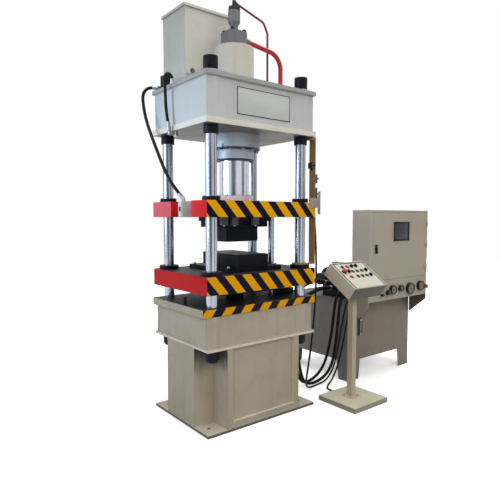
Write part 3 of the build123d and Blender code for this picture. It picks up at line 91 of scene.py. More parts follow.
def place_camera():
    data = bpy.data.cameras.new("camera")
    data.lens = CAMERA_LENS
    data.sensor_width = 36
    data.clip_end = 60
    yaw, pitch = radians(CAMERA_YAW), radians(CAMERA_PITCH)
    camera = linked("camera", data)
    view = (cos(yaw) * cos(pitch), sin(yaw) * cos(pitch), sin(pitch))
    camera.matrix_world = aimed(CAMERA_AT, view)
    scene.camera = camera


place_camera()


# Hoses and cables: route in metres, length and diameter in metres, stiffness, lay, finish slot
CORDS = {
    "slide_hose": (
        [(-0.478, 0.366, 2.486), (-0.512, 0.376, 2.486), (-0.542, 0.385, 2.472), (-0.564, 0.391, 2.446),
         (-0.573, 0.393, 2.412), (-0.573, 0.388, 2.36), (-0.57, 0.362, 2.26), (-0.566, 0.298, 2.14),
         (-0.562, 0.21, 2.01), (-0.56, 0.11, 1.87), (-0.556, 0.02, 1.76), (-0.534, -0.034, 1.694),
         (-0.508, -0.062, 1.644)],
        1.05, 0.024, "stiff", "hanging", "hose_rubber"),
    "crown_hose": (
        [(-0.466, 0.128, 2.48), (-0.466, 0.128, 2.512), (-0.487, 0.12, 2.531), (-0.517, 0.11, 2.532),
         (-0.539, 0.102, 2.512), (-0.541, 0.101, 2.46), (-0.539, 0.1, 2.37), (-0.536, 0.097, 2.27),
         (-0.531, 0.088, 2.205), (-0.529, 0.078, 2.158)],
        0.474, 0.022, "stiff", "hanging", "hose_rubber"),
    "feed_hose": (
        [(1.158, 0.112, 0.88), (1.08, 0.114, 0.906), (1, 0.112, 0.912), (0.89, 0.106, 0.886),
         (0.775, 0.1, 0.844), (0.665, 0.094, 0.806), (0.58, 0.09, 0.788), (0.505, 0.086, 0.784)],
        0.676, 0.036, "stiff", "hanging", "hose_rubber"),
    "return_hose": (
        [(1.158, 0.036, 0.838), (1.075, 0.038, 0.846), (0.985, 0.043, 0.838), (0.865, 0.05, 0.8),
         (0.745, 0.052, 0.766), (0.64, 0.048, 0.75), (0.57, 0.043, 0.746), (0.505, 0.04, 0.746)],
        0.666, 0.036, "stiff", "hanging", "hose_rubber"),
    "floor_hose_a": (
        [(1.158, -0.084, 0.83), (1.094, -0.082, 0.778), (1.079, -0.076, 0.698), (1.08, -0.061, 0.59),
         (1.082, -0.036, 0.43), (1.081, -0.002, 0.27), (1.064, 0.02, 0.15), (1, 0.03, 0.058),
         (0.895, 0.022, 0.015), (0.79, 0, 0.014), (0.712, -0.018, 0.046), (0.674, -0.016, 0.128),
         (0.66, -0.002, 0.24), (0.65, 0.018, 0.38), (0.628, 0.04, 0.51), (0.6, 0.056, 0.6),
         (0.556, 0.066, 0.664), (0.505, 0.07, 0.694)],
        1.837, 0.026, "stiff", "loose", "hose_rubber"),
    "floor_hose_b": (
        [(1.158, -0.136, 0.82), (1.094, -0.134, 0.768), (1.08, -0.129, 0.688), (1.081, -0.118, 0.582),
         (1.084, -0.098, 0.43), (1.085, -0.076, 0.28), (1.07, -0.062, 0.152), (1.006, -0.052, 0.058),
         (0.9, -0.048, 0.016), (0.795, -0.052, 0.014), (0.716, -0.06, 0.044), (0.677, -0.056, 0.126),
         (0.664, -0.04, 0.24), (0.652, -0.016, 0.376), (0.63, 0.002, 0.496), (0.604, 0.016, 0.58),
         (0.558, 0.026, 0.642), (0.505, 0.03, 0.672)],
        1.803, 0.026, "stiff", "loose", "hose_rubber"),
    "switch_cable": (
        [(0.539, -0.334, 1.636), (0.539, -0.334, 1.51), (0.543, -0.348, 1.32), (0.545, -0.357, 1.12),
         (0.547, -0.352, 0.92), (0.55, -0.335, 0.72), (0.553, -0.31, 0.53), (0.562, -0.272, 0.35),
         (0.585, -0.222, 0.19), (0.63, -0.16, 0.07), (0.712, -0.116, 0.012), (0.835, -0.094, 0.009),
         (0.955, -0.092, 0.02), (1.04, -0.099, 0.11), (1.078, -0.112, 0.26), (1.086, -0.138, 0.43),
         (1.088, -0.168, 0.59), (1.084, -0.2, 0.7), (1.096, -0.212, 0.762), (1.124, -0.214, 0.784),
         (1.157, -0.214, 0.784)],
        2.804, 0.016, "medium", "loose", "cable_jacket"),
    "control_cable": (
        [(1.157, -0.248, 0.812), (1.124, -0.248, 0.812), (1.094, -0.246, 0.79), (1.08, -0.242, 0.728),
         (1.08, -0.228, 0.61), (1.08, -0.196, 0.44), (1.074, -0.16, 0.27), (1.05, -0.138, 0.13),
         (0.985, -0.138, 0.036), (0.9, -0.166, 0.009), (0.838, -0.214, 0.01), (0.808, -0.266, 0.02),
         (0.808, -0.318, 0.02)],
        1.131, 0.016, "medium", "loose", "cable_jacket"),
}


def route_spline(name, route, radius):
    """A smooth curve with the route's points as its control points."""
    curve = bpy.data.curves.new(name, "CURVE")
    curve.dimensions = "3D"
    curve.resolution_u = 12
    spline = curve.splines.new("NURBS")
    spline.points.add(len(route) - 1)
    for point, place in zip(spline.points, route):
        point.co = (*place, 1)
        point.radius = radius
    spline.order_u = 3
    spline.use_endpoint_u = True
    return linked(name, curve)


def line_of(item):
    """The points along a curve that has no thickness, in order."""
    bpy.context.view_layer.update()
    mesh = bpy.data.meshes.new_from_object(item)
    line = [vertex.co.copy() for vertex in mesh.vertices]
    bpy.data.meshes.remove(mesh)
    return line


# Shader maths
class Value:
    """One number that varies over a surface; sums on it add Math nodes."""

    def __init__(self, maker, socket):
        self.maker = maker
        self.socket = socket

    def math(self, operation, *others):
        return self.maker.node("Math", {"operation": operation}, (self, *others))

    def __rsub__(self, other):
        return self.maker.node("Math", {"operation": "SUBTRACT"}, (other, self))

    __add__ = __radd__ = partialmethod(math, "ADD")
    __sub__ = partialmethod(math, "SUBTRACT")
    __mul__ = __rmul__ = partialmethod(math, "MULTIPLY")
    __truediv__ = partialmethod(math, "DIVIDE")
    __gt__ = partialmethod(math, "GREATER_THAN")
    __lt__ = partialmethod(math, "LESS_THAN")
    __abs__ = partialmethod(math, "ABSOLUTE")

    def step(self, low, high):
        """0 below low, 1 above high and smooth between them."""
        settings = {"interpolation_type": "SMOOTHSTEP"}
        return self.maker.node("MapRange", settings, {0: self, 1: low, 2: high})

    def within(self, low, high):
        """1 between the two limits and 0 outside them."""
        return (self > low) * (self < high)


def colour(red, green, blue):
    """A colour as it looks on a screen, from 0 to 255, turned into light."""
    light = [c / 255 for c in (red, green, blue)]
    return (*[c / 12.92 if c <= 0.04045 else ((c + 0.055) / 1.055) ** 2.4 for c in light], 1)


def toned(shade, factor, lift=0.0):
    """A colour of light made darker or paler."""
    return (*[min(1, c * factor + lift) for c in shade[:3]], 1)


class Shader:
    """Nodes of a material or of the room's light."""

    def __init__(self, tree):
        self.tree = tree

    def node(self, kind, settings=None, sockets=(), out=0):
        """Adds a node: its settings first, then its sockets; gives the output asked for."""
        made = self.tree.nodes.new("ShaderNode" + kind)
        for key, value in (settings or {}).items():
            setattr(made, key, value)
        for key, value in sockets.items() if isinstance(sockets, dict) else enumerate(sockets):
            if isinstance(value, Value):
                self.tree.links.new(value.socket, made.inputs[key])
            else:
                made.inputs[key].default_value = value
        return Value(self, made.outputs[out])

    def mix(self, share, first, second, blend="MIX"):
        """Colours mixed by a share from 0 to 1."""
        settings = {"data_type": "RGBA", "blend_type": blend}
        return self.node("Mix", settings, {0: share, 6: first, 7: second}, out=2)

    def over(self, shade, *coats):
        """Colours laid over a shade one after another, each by its own share."""
        for share, rgb in coats:
            shade = self.mix(share, shade, colour(*rgb))
        return shade

    def seen(self):
        """1 for what the eye sees, also in a mirror or through glass, and 0 for other light."""
        ways = ("Camera", "Glossy", "Transmission")
        eye, mirror, glass = [self.node("LightPath", out=f"Is {way} Ray") for way in ways]
        return (eye + mirror + glass).math("MINIMUM", 1)


finishes = {}


class Finish(Shader):
    """A paint, metal, rubber or plastic made of nodes on the press's own coordinates."""

    def __init__(self, name, **constants):
        self.material = bpy.data.materials.new(name)
        self.material.use_nodes = True
        super().__init__(self.material.node_tree)
        self.shader = self.tree.nodes["Principled BSDF"]
        for socket, value in constants.items():
            self.shader.inputs[socket.replace("_", " ")].default_value = value
        self.place = self.node("TexCoord", out="Object")
        self.x, self.y, self.z = self.parts(self.place)
        self.nx, self.ny, self.nz = self.parts(self.node("TexCoord", out="Normal"))
        finishes[name] = self

    def parts(self, vector):
        first = self.node("SeparateXYZ", None, (vector,))
        return [Value(self, output) for output in first.socket.node.outputs]

    def noise(self, scale, detail=3, stretch=(1, 1, 1)):
        """Cloudy pattern, finer as the scale grows."""
        place = self.node("VectorMath", {"operation": "MULTIPLY"}, (self.place, stretch))
        sockets = {"Vector": place, "Scale": scale, "Detail": detail, "Roughness": 0.55}
        return self.node("TexNoise", None, sockets)

    def soft_edge(self, radius):
        """The surface's direction with its sharp edges rounded, and how near an edge is."""
        rounded = self.node("Bevel", {"samples": 6}, {"Radius": radius})
        plain = self.node("NewGeometry", out="Normal")
        match = self.node("VectorMath", {"operation": "DOT_PRODUCT"}, (rounded, plain), out="Value")
        return rounded, 1 - match

    def bump(self, height, depth, strength, normal=None):
        sockets = {"Height": height, "Distance": depth, "Strength": strength}
        if normal:
            sockets["Normal"] = normal
        return self.node("Bump", None, sockets)

    def wear(self, **sockets):
        """Feeds what varies to the shader."""
        for name, value in sockets.items():
            self.tree.links.new(value.socket, self.shader.inputs[name.replace("_", " ")])


# A face looks a way squarely from this share of its direction on, and is upright below the other
SQUARELY, ASLANT = 0.9, 0.5
# The bed's cream: the crown's paint, made darker and browner as painted shade on the lower press.
BED_SHADED_CREAM = (177, 167, 149)


def painted(name, rgb, gloss=0.42, grime=0.5, chips=0.6, mark=None, edge=0.003, shine=0.35):
    """Sprayed machine paint: uneven coat, runs of grime, dust on top and rubbed edges."""
    coat = Finish(name, Specular_IOR_Level=shine)
    dull, dust = (0.62, 0.61, 0.59, 1), (0.36, 0.31, 0.24, 1)
    cloudy = coat.noise(2.4, 4)
    blotches = coat.noise(11, 4).step(0.48, 0.72)
    runs = coat.noise(14, 3, (1, 1, 0.07)).step(0.5, 0.78) * (1 - abs(coat.nz))
    settled = coat.nz.step(0.5, 0.9) * coat.noise(5, 4).step(0.3, 0.75)
    rounded, nearness = coat.soft_edge(edge)
    rubbed = (nearness * 9 + coat.noise(60, 5) * 0.9).step(1.05, 1.5) * chips
    tone = mark(coat, colour(*rgb)) if mark else colour(*rgb)
    for stain, strength in ((cloudy.step(0.35, 0.7), 0.24), (blotches, 0.2), (runs, 0.4)):
        tone = coat.mix(stain * (strength * grime), tone, dull, "MULTIPLY")
    tone = coat.mix(settled * (0.18 * grime), tone, dust)
    coat.wear(
        Base_Color=coat.over(tone, (rubbed, (92, 84, 76))),
        Roughness=gloss + cloudy * 0.16 + blotches * 0.07 + rubbed * 0.12,
        Normal=coat.bump(coat.noise(420, 2) + rubbed * -0.6, 0.0006, 0.35, rounded),
    )


def striped(node, lean, start, period, share, left_glare=0.0):
    """Warning bands over the front face of a node, in millimetres, a painted pinkish highlight on its
    left side, and near-black top and bottom faces.

    One band begins at start, at the face's lower edge; yellow takes its share of each period.
    """
    (left, front, low), (right, _, high) = box(node)

    def mark(coat, shade):
        # A painted highlight on the left side: pale pink over the red, growing towards the back.
        side = (coat.nx < -SQUARELY) * coat.y.step(-0.36, 0.2) * left_glare
        ahead = (coat.ny < -SQUARELY) * (coat.y < (front + 5) * MM)
        face = ahead * coat.x.within(left * MM, right * MM) * coat.z.within(low * MM, high * MM)
        across = (coat.x + (coat.z - low * MM) * lean - start * MM) / (period * MM)
        band = (across + coat.noise(30, 2) * 0.02).math("FRACT") < share
        scuffs = coat.noise(26, 5, (1, 1, 3)).step(0.62, 0.8) * 0.25
        yellow = coat.over(colour(230, 163, 6), (scuffs, (140, 96, 26)))
        black = coat.over(colour(2, 4, 26), (scuffs, (38, 36, 44)))
        # Top and bottom faces near black.
        dark_flat_faces = abs(coat.nz).step(0.6, 0.8)
        plain = coat.over(shade, (side, (226, 170, 188)), (dark_flat_faces, (30, 32, 38)))
        return coat.mix(face, plain, coat.mix(band, black, yellow))
    return mark


def metal(name, rgb, rough=0.3, streaks=(1, 1, 1), grain=0.1, oil=0.25, metallic=1.0, mark=None,
          shine=0.5):
    """Machined or plated metal with fine tool marks and an oily film."""
    steel = Finish(name, Metallic=metallic, Specular_IOR_Level=shine)
    shade = colour(*rgb)
    marks = steel.noise(240, 3, streaks)
    film = steel.noise(7, 4).step(0.4, 0.7)
    rounded, nearness = steel.soft_edge(0.001)
    tone = steel.mix(film * oil, mark(steel, shade) if mark else shade, toned(shade, 0.5))
    steel.wear(
        Base_Color=steel.mix((nearness * 6).step(0.1, 0.9) * 0.4, tone, toned(shade, 1.5, 0.04)),
        Roughness=rough + marks * grain + film * grain,
        Normal=steel.bump(marks, 0.0002, 0.25, rounded),
    )


def chromed(name):
    """Hard chrome with lengthwise polish marks and oil, paler on the ram and dark below the bed."""
    chrome = Finish(name, Metallic=1.0)
    marks = chrome.noise(90, 3, (1, 1, 0.002))
    film = chrome.noise(5, 5, (1, 1, 0.4)).step(0.42, 0.72)
    ram = chrome.x * chrome.x + chrome.y * chrome.y < 0.03
    tone = chrome.over(
        colour(172, 178, 190),
        (film * 0.6, (128, 131, 138)),
        (marks.step(0.5, 0.75) * 0.35, (84, 90, 102)),
        (ram * 0.6, (222, 226, 234)),
        (chrome.z < 0.588, (24, 25, 30)),
    )
    chrome.wear(
        Base_Color=tone,
        Roughness=0.2 + film * 0.06 + marks * 0.03,
        Normal=chrome.bump(film, 0.00002, 0.02),
    )


def moulded(name, rgb, rough=0.38, grain=0.5, coat=0.0, shine=0.5):
    """Moulded plastic or rubber with a fine skin and a little handling dirt."""
    plastic = Finish(name, Coat_Weight=coat, Coat_Roughness=0.15, Specular_IOR_Level=shine)
    shade = colour(*rgb)
    skin = plastic.noise(900, 2)
    handled = plastic.noise(40, 4).step(0.45, 0.75)
    rounded, _ = plastic.soft_edge(0.0008)
    plastic.wear(
        Base_Color=plastic.mix(handled * 0.35, shade, toned(shade, 0.6)),
        Roughness=rough + handled * 0.14 + skin * 0.05,
        Normal=plastic.bump(skin, 0.0003, 0.3 * grain, rounded),
    )


def rubber_hose(name, pitch):
    """Black hose or cable cover with the pitch of its wrapped cloth, and dust."""
    cover = Finish(name, Specular_IOR_Level=0.14)
    wrap = (cover.z * (tau / pitch)).math("SINE")
    dust = cover.noise(9, 5).step(0.42, 0.75)
    cover.wear(
        Base_Color=cover.over(colour(11, 11, 14), (dust * 0.14, (54, 52, 52))),
        Roughness=0.42 + dust * 0.25,
        Normal=cover.bump(wrap * 0.4 + cover.noise(500, 3), 0.0005, 0.3),
    )


def bed_light_shade_and_wear(coat, shade):
    """Dark sawn base edges, painted highlights on the flange and the panel's reveal, grime and painted
    shade in the recesses.
    """
    # Painted highlights on the flange plate's upright edges and round the front panel's reveal.
    flange = (abs(coat.nz) < ASLANT) * coat.z.within(0.5885, 0.6075)
    reveal = (abs(coat.x) < 0.2925) * coat.y.within(-0.3755, -0.3515) * coat.z.within(0.06, 0.58)
    recess = (abs(coat.x) > 0.3345) * (abs(coat.x) < 0.4925) * (abs(coat.y) < 0.3745)
    # Streaks of grime in the corner recesses, deepened towards the flange plate above as painted shade.
    oil = recess * coat.z.step(0.38, 0.56) * (coat.z < 0.5885)
    return coat.over(
        shade,
        ((flange + reveal) * 0.7, (236, 228, 210)),
        (oil * coat.noise(18, 4, (1, 1, 0.3)).step(0.2, 0.55) * 0.85, (46, 41, 35)),
        ((coat.z < 0.0205) * (coat.nz > SQUARELY), (200, 192, 170)),
        ((coat.z < 0.019) * (abs(coat.nz) < ASLANT), (92, 86, 78)),
    )


def crown_plate_light_and_shade(coat, shade):
    """Painted light on the crown's flange plates: a pale lower edge, a darker upper edge, a dark
    underside.
    """
    # A painted highlight along the lower plate's front and left faces.
    lower = ((coat.ny < -SQUARELY) + (coat.nx < -SQUARELY)) * coat.z.within(2.1185, 2.1595)
    # Painted shade along the upper plate's edge.
    upper = (abs(coat.nz) < ASLANT) * coat.z.within(2.4285, 2.4695)
    # A painted shadow on the crown's underside, cloudy at its edge.
    under = (coat.nz < -SQUARELY) * (coat.z < 2.1205)
    return coat.over(
        shade,
        (under * coat.noise(3, 3).step(0.2, 0.6), (112, 108, 101)),
        (upper, (150, 152, 150)),
        (lower, (212, 208, 197)),
    )


def bar_switches(coat, shade):
    """The limit switches that the bar carries, and its small dark stop."""
    stop = (coat.x < 0.5138) * coat.z.within(1.87, 1.94)
    return coat.over(shade, (coat.x > 0.5222, (112, 115, 128)), (stop, (26, 25, 32)))


def cabinet_light_and_shade(coat, shade):
    """The cabinet's left wall painted paler as if lit, and the bracket plate painted dark as shade on
    its side facing the press.
    """
    left = coat.nx < -SQUARELY
    # A painted highlight on the cabinet's left wall.
    wall = left * (coat.x < 1.3) * (coat.z > 0.9)
    # Painted shade on the bracket plate's side facing the press.
    bracket = left * (coat.x > 1.6) * coat.z.within(0.4, 0.762)
    return coat.over(shade, (wall, (188, 183, 173)), (bracket, (92, 92, 78)))


def oil_tank_side_light(coat, shade):
    """The oil tank's left side painted greyer and cooler as in cool side light, and its lid darker."""
    # Painted cool light on the left side; the lid is simply darker.
    side, lid = coat.nx < -SQUARELY, coat.nz > SQUARELY
    return coat.over(shade, (side, (132, 130, 128)), (lid, (74, 72, 72)))


def console_foot_and_shade(coat, shade):
    """The console's foot, darker on its sides and paler on top, and painted shade on the faces that
    look down.
    """
    foot = coat.z < 0.0405
    return coat.over(
        shade,
        (foot * (abs(coat.nz) < ASLANT), (158, 152, 131)),
        (foot * (coat.nz > SQUARELY), (205, 198, 177)),
        # Painted shade on the faces that look down, the control box's tilted front among them.
        (coat.nz < -0.3, (60, 50, 36)),
    )


def ring_wear(steel, shade):
    """The dark lower lip of the gland ring, and the dark joint below the lock ring."""
    return steel.over(shade, ((steel.z < 1.939) + steel.z.within(2.007, 2.02), (44, 52, 66)))


def valve_wear(steel, shade):
    """The prefill valve's dark top and the dark bolts round its flange."""
    bolts = (steel.x * steel.x + steel.y * steel.y > 0.00225) * steel.z.within(2.8922, 2.915)
    return steel.over(shade, ((steel.z > 3.0552) + bolts, (24, 25, 32)))


def clamp_wear(steel, shade):
    """The clamps before the upper die shoe, bright from use."""
    return steel.over(shade, ((steel.y < -0.1505) * steel.z.within(1.42, 1.5), (112, 116, 124)))


# Finishes of the press, the station and the console
painted("crown_paint", (184, 186, 187), mark=crown_plate_light_and_shade)
painted("bed_shaded_paint", BED_SHADED_CREAM, grime=0.9, mark=bed_light_shade_and_wear)
painted("tank_paint", (178, 177, 169), grime=0.6)
painted("barrel_paint", (177, 173, 161), grime=0.6)
# The slide's last number sets the painted highlight on its left side.
painted("slide_red", (206, 30, 30), grime=0.45, shine=0.1,
        mark=striped("slide", 0.9, -405, 149.3, 0.515, 0.24))
painted("platen_red", (190, 24, 24), grime=0.5, shine=0.1,
        mark=striped("lower_platen", 0.86, -403, 148.7, 0.515))
painted("table_tape", BED_SHADED_CREAM, grime=0.8, shine=0.12,
        mark=striped("table_plate", -0.8, -541, 165.5, 0.51))
painted("red_pipe", (166, 28, 40), gloss=0.28, grime=0.4, edge=0.001)
painted("pilot_red", (112, 36, 46), gloss=0.28, grime=0.4, edge=0.001)
painted("primer_pink", (222, 202, 202), gloss=0.4, grime=0.5)
painted("bronze_bar", (142, 118, 80), gloss=0.4, grime=0.9, edge=0.001, shine=0.2, mark=bar_switches)
painted("box_grey", (194, 198, 204), grime=0.5, edge=0.0015)
painted("cabinet_paint", (174, 167, 149), grime=0.4, edge=0.0015, mark=cabinet_light_and_shade)
painted("oil_paint", (134, 122, 106), grime=0.9, edge=0.0015, mark=oil_tank_side_light)
painted("console_paint", (188, 179, 156), grime=0.6, edge=0.0015, mark=console_foot_and_shade)
painted("panel_cream", (198, 194, 176), gloss=0.34, grime=0.3, chips=0.2, edge=0.0008)
painted("motor_paint", (22, 25, 31), grime=0.6, edge=0.0015, shine=0.14)
metal("ring_grey", (163, 171, 180), 0.42, (1, 1, 0.2), 0.12, oil=0.35, metallic=0.35, mark=ring_wear)
metal("valve_grey", (104, 104, 107), 0.4, oil=0.4, metallic=0.45, shine=0.3, mark=valve_wear)
metal("black_steel", (15, 18, 27), 0.42, oil=0.3, metallic=0.2, shine=0.14)
metal("bright_steel", (160, 162, 166), 0.28, oil=0.35)
metal("die_steel", (9, 13, 28), 0.38, oil=0.5, metallic=0.3, shine=0.12)
metal("shoe_black", (12, 13, 21), 0.42, oil=0.4, metallic=0.2, shine=0.14, mark=clamp_wear)
metal("dog_zinc", (150, 138, 128), 0.4, oil=0.4, metallic=0.6)
metal("nickel", (170, 173, 178), 0.26)
metal("gauge_case", (44, 42, 40), 0.32, oil=0.3, metallic=0.6, shine=0.3)
metal("plate_silver", (186, 189, 187), 0.5, (0.05, 1, 1), 0.16, oil=0.1, metallic=0.3)
chromed("column_chrome")
moulded("black_plastic", (12, 12, 15), shine=0.16)
moulded("grey_plastic", (70, 72, 76), shine=0.25)
moulded("red_plastic", (196, 20, 32), 0.28, shine=0.3)
moulded("green_plastic", (10, 72, 36), 0.3, shine=0.2)
moulded("white_plastic", (220, 218, 210), 0.3)
moulded("green_lamp", (26, 66, 44), 0.2, coat=0.2, shine=0.2)
moulded("pink_lamp", (196, 106, 116), 0.2, coat=0.2, shine=0.3)
moulded("screen_glass", (40, 43, 52), 0.2, 0.1, shine=0.25)
moulded("dial_white", (124, 124, 115), 0.4, 0.2, shine=0.2)
moulded("window_glass", (70, 76, 62), 0.14, 0.1, coat=0.3)
rubber_hose("hose_cover", 0.004)
rubber_hose("cable_cover", 0.2)

# Each finish with the CAD nodes that wear it
DRESSED_NODES = {
    "crown_paint": "crown",
    "bed_shaded_paint": "pedestal bed_beam",
    "table_tape": "table_plate",
    "column_chrome": "columns main_ram guide_posts",
    "barrel_paint": "main_cylinder",
    "ring_grey": "cylinder_rings",
    "primer_pink": "ram_flange",
    "slide_red": "slide",
    "platen_red": "lower_platen",
    "shoe_black": "slide_bushes upper_die_shoe platen_bushes lower_die cushion_ram",
    "die_steel": "upper_punch",
    "black_steel": "column_nuts cushion_cylinder table_stops valve_block",
    "tank_paint": "prefill_tank",
    "valve_grey": "prefill_valve",
    "red_pipe": "pressure_pipe",
    "pilot_red": "pilot_pipe",
    "bronze_bar": "switch_bar",
    "dog_zinc": "trip_dog",
    "box_grey": "junction_box",
    "bright_steel": "hose_fittings",
    "oil_paint": "oil_tank",
    "cabinet_paint": "electric_cabinet cabinet_door",
    "gauge_case": "pressure_gauges",
    "motor_paint": "pump_motor",
    "console_paint": "console_stand control_box",
    "green_lamp": "signal_lamps",
    "red_plastic": "emergency_stop button_pump_stop",
    "green_plastic": "button_start button_pressing button_reset button_slide_up button_slide_down "
                     "button_cushion_up",
    "black_plastic": "door_latch selector_mode selector_light selector_pump selector_cushion "
                     "selector_power",
}

for finish, names in DRESSED_NODES.items():
    for name in names.split():
        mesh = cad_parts[name].data
        mesh.materials.clear()
        mesh.materials.append(finishes[finish].material)


# Mesh work
class Work:
    """One new piece's mesh, put together from blocks, turned forms and tubes, in millimetres."""

    def __init__(self, turn=None, capped=True):
        self.mesh = bmesh.new()
        self.turn = turn or Matrix.Identity(4)
        self.capped = capped

    def take(self, part):
        bmesh.ops.recalc_face_normals(part, faces=part.faces[:])
        part.transform(self.turn)
        spare = bpy.data.meshes.new("spare")
        part.to_mesh(spare)
        part.free()
        self.mesh.from_mesh(spare)
        bpy.data.meshes.remove(spare)
        return self

    def block(self, low, high, edge=1.0):
        """A block between two corners, with its edges rounded."""
        part = bmesh.new()
        bmesh.ops.create_cube(part, size=1)
        size = Vector(high) - Vector(low)
        middle = (Vector(high) + Vector(low)) / 2
        part.transform(Matrix.Translation(middle) @ Matrix.Diagonal((*size, 1)))
        if edge:
            edges = part.edges[:]
            bmesh.ops.bevel(part, geom=edges, offset=edge, segments=2, affect="EDGES", profile=0.6)
        return self.take(part)

    def framed(self, low, high, side, rail, edge):
        """Four bars round an upright rectangle: two rails across it and its two sides."""
        (x0, y0, z0), (x1, y1, z1) = low, high
        self.block(low, (x1, y1, z0 + rail), edge)
        self.block((x0, y0, z1 - rail), high, edge)
        self.block(low, (x0 + side, y1, z1), edge)
        return self.block((x1 - side, y0, z0), high, edge)

    def turned(self, profile, at, axis=UP, sides=28):
        """A form turned about an axis, from pairs of radius and height."""
        part = bmesh.new()
        up = Vector(axis).normalized()
        side = up.orthogonal().normalized()
        other = up.cross(side)
        rings = []
        for radius, height in profile:
            centre = Vector(at) + up * height
            ring = around(radius, sides if radius else 1)
            rings.append([part.verts.new(centre + side * a + other * b) for a, b in ring])
        for below, above in zip(rings, rings[1:]):
            for i in range(sides):
                corners = []
                for ring, step in ((below, i), (below, i + 1), (above, i + 1), (above, i)):
                    corner = ring[step % len(ring)]
                    if corner not in corners:
                        corners.append(corner)
                if len(corners) > 2:
                    part.faces.new(corners)
        for ring in (rings[0], rings[-1]):
            if len(ring) > 1 and self.capped:
                part.faces.new(ring)
        return self.take(part)

    def sleeve(self, part, rings):
        """A closed round form through rings of corners."""
        sides = len(rings[0])
        for below, above in zip(rings, rings[1:]):
            for k in range(sides):
                after = (k + 1) % sides
                part.faces.new((below[k], below[after], above[after], above[k]))
        part.faces.new(rings[0])
        part.faces.new(rings[-1])
        return self.take(part)

    def tube(self, points, radii, sides=12):
        """A round bar that follows a line, with one radius or one at each point."""
        part = bmesh.new()
        points = [Vector(p) for p in points]
        if not isinstance(radii, (list, tuple)):
            radii = [radii] * len(points)
        side = (points[1] - points[0]).normalized().orthogonal().normalized()
        rings = []
        for i, (point, radius) in enumerate(zip(points, radii)):
            ahead = points[min(i + 1, len(points) - 1)] - points[max(i - 1, 0)]
            ahead.normalize()
            side = (side - ahead * side.dot(ahead)).normalized()
            other = ahead.cross(side)
            ring = around(radius, sides)
            rings.append([part.verts.new(point + side * a + other * b) for a, b in ring])
        return self.sleeve(part, rings)

    def bead(self, start, end, radius, seed):
        """A weld along a line, with its ripples."""
        chance = random.Random(seed)
        a, b = Vector(start), Vector(end)
        count = max(3, int((b - a).length / 9))
        points = [a.lerp(b, i / count) for i in range(count + 1)]
        return self.tube(points, [radius * chance.uniform(0.84, 1.12) for _ in points], 8)

    def heads(self, head, places, axis, *size):
        """The same screw head at several places."""
        for place in places:
            head(self, place, axis, *size)
        return self

    def finished(self, name):
        """The mesh in metres, smooth; the work ends with it."""
        mesh = bpy.data.meshes.new(name)
        self.mesh.transform(Matrix.Scale(MM, 4))
        self.mesh.to_mesh(mesh)
        self.mesh.free()
        mesh.shade_smooth()
        return mesh

    def piece(self, name, finish, body=MACHINE):
        """Makes the mesh a piece that rides on a body."""
        mesh = self.finished(name)
        mesh.set_sharp_from_angle(angle=radians(38))
        mesh.materials.append(finishes[finish].material)
        item = linked(name, mesh)
        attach(item, body)
        return item


def around(radius, count, first=0.0):
    """Places evenly round a circle, from an angle on."""
    angles = [first + tau * i / count for i in range(count)]
    return [(radius * cos(angle), radius * sin(angle)) for angle in angles]


def screw_head(work, at, axis, dia, height):
    """A socket head screw: chamfered rim and a deep round socket."""
    r = dia / 2
    work.turned(
        [(r, 0), (r, height - 0.12 * dia), (r - 0.1 * dia, height), (0.27 * dia, height),
         (0.25 * dia, height * 0.45), (0, height * 0.45)], at, axis, 18)


def hex_head(work, at, axis, across, height):
    """A hexagon head on its washer."""
    work.turned([(across * 0.78, 0), (across * 0.78, 1.6), (0, 1.6)], at, axis, 20)
    r = across / 2 / cos(pi / 6)
    work.turned([(r, 1.6), (r, height * 0.85), (r * 0.86, height), (0, height)], at, axis, 6)


def pan_head(work, at, axis, dia):
    """A low round screw head with a dimple."""
    r = dia / 2
    profile = [(r, 0), (r * 0.92, r * 0.3), (r * 0.6, r * 0.5), (r * 0.22, r * 0.52), (0, r * 0.2)]
    work.turned(profile, at, axis, 14)


def box_welds(half_x, half_y, heights, pattern=1):
    """Welds round a box of plate at two heights and up its corners; -1 gives other ripples."""
    work = Work()
    for z in heights:
        for y in (-half_y, half_y):
            work.bead((-half_x, y, z), (half_x, y, z), 4.5, int(z + y))
        for x in (-half_x, half_x):
            work.bead((x, -half_y, z), (x, half_y, z), 4.5, int(z + pattern * x))
    for x, y in product((-half_x, half_x), (-half_y, half_y)):
        work.bead((x, y, heights[0]), (x, y, heights[1]), 3, int(x + pattern * y))
    return work


# Hoses first, so that their place is settled before the rest
def lay_cords():
    for name, (route, length, dia, stiffness, lay, slot) in CORDS.items():
        curve = route_spline(name + "_line", route, dia / 2)
        line = [p / MM for p in line_of(curve)]
        far_body = SLIDE if name == "slide_hose" else MACHINE
        cover, ends, path = "cable_cover", [], None
        if slot == "hose_rubber":
            cover = "hose_cover"
            for end, way, body in (("first", line, MACHINE), ("last", line[::-1], far_body)):
                ends.append(ferrule(f"{name}_{end}_ferrule", way, dia / MM, body))
        if far_body == SLIDE:
            bpy.data.objects.remove(curve)
            tube = Work().tube(line, dia / MM / 2, 20)
            cord = linked(name + "_tube", tube.finished(name + "_tube"))
            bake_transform(cord)
            path = [tuple(p * MM) for p in line]
        else:
            cord = curve
            cord.data.bevel_depth = 1
            cord.data.bevel_resolution = 5
            cord.data.use_fill_caps = True
            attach(cord, MACHINE)
        cord.data.materials.append(finishes[cover].material)
        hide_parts(name)


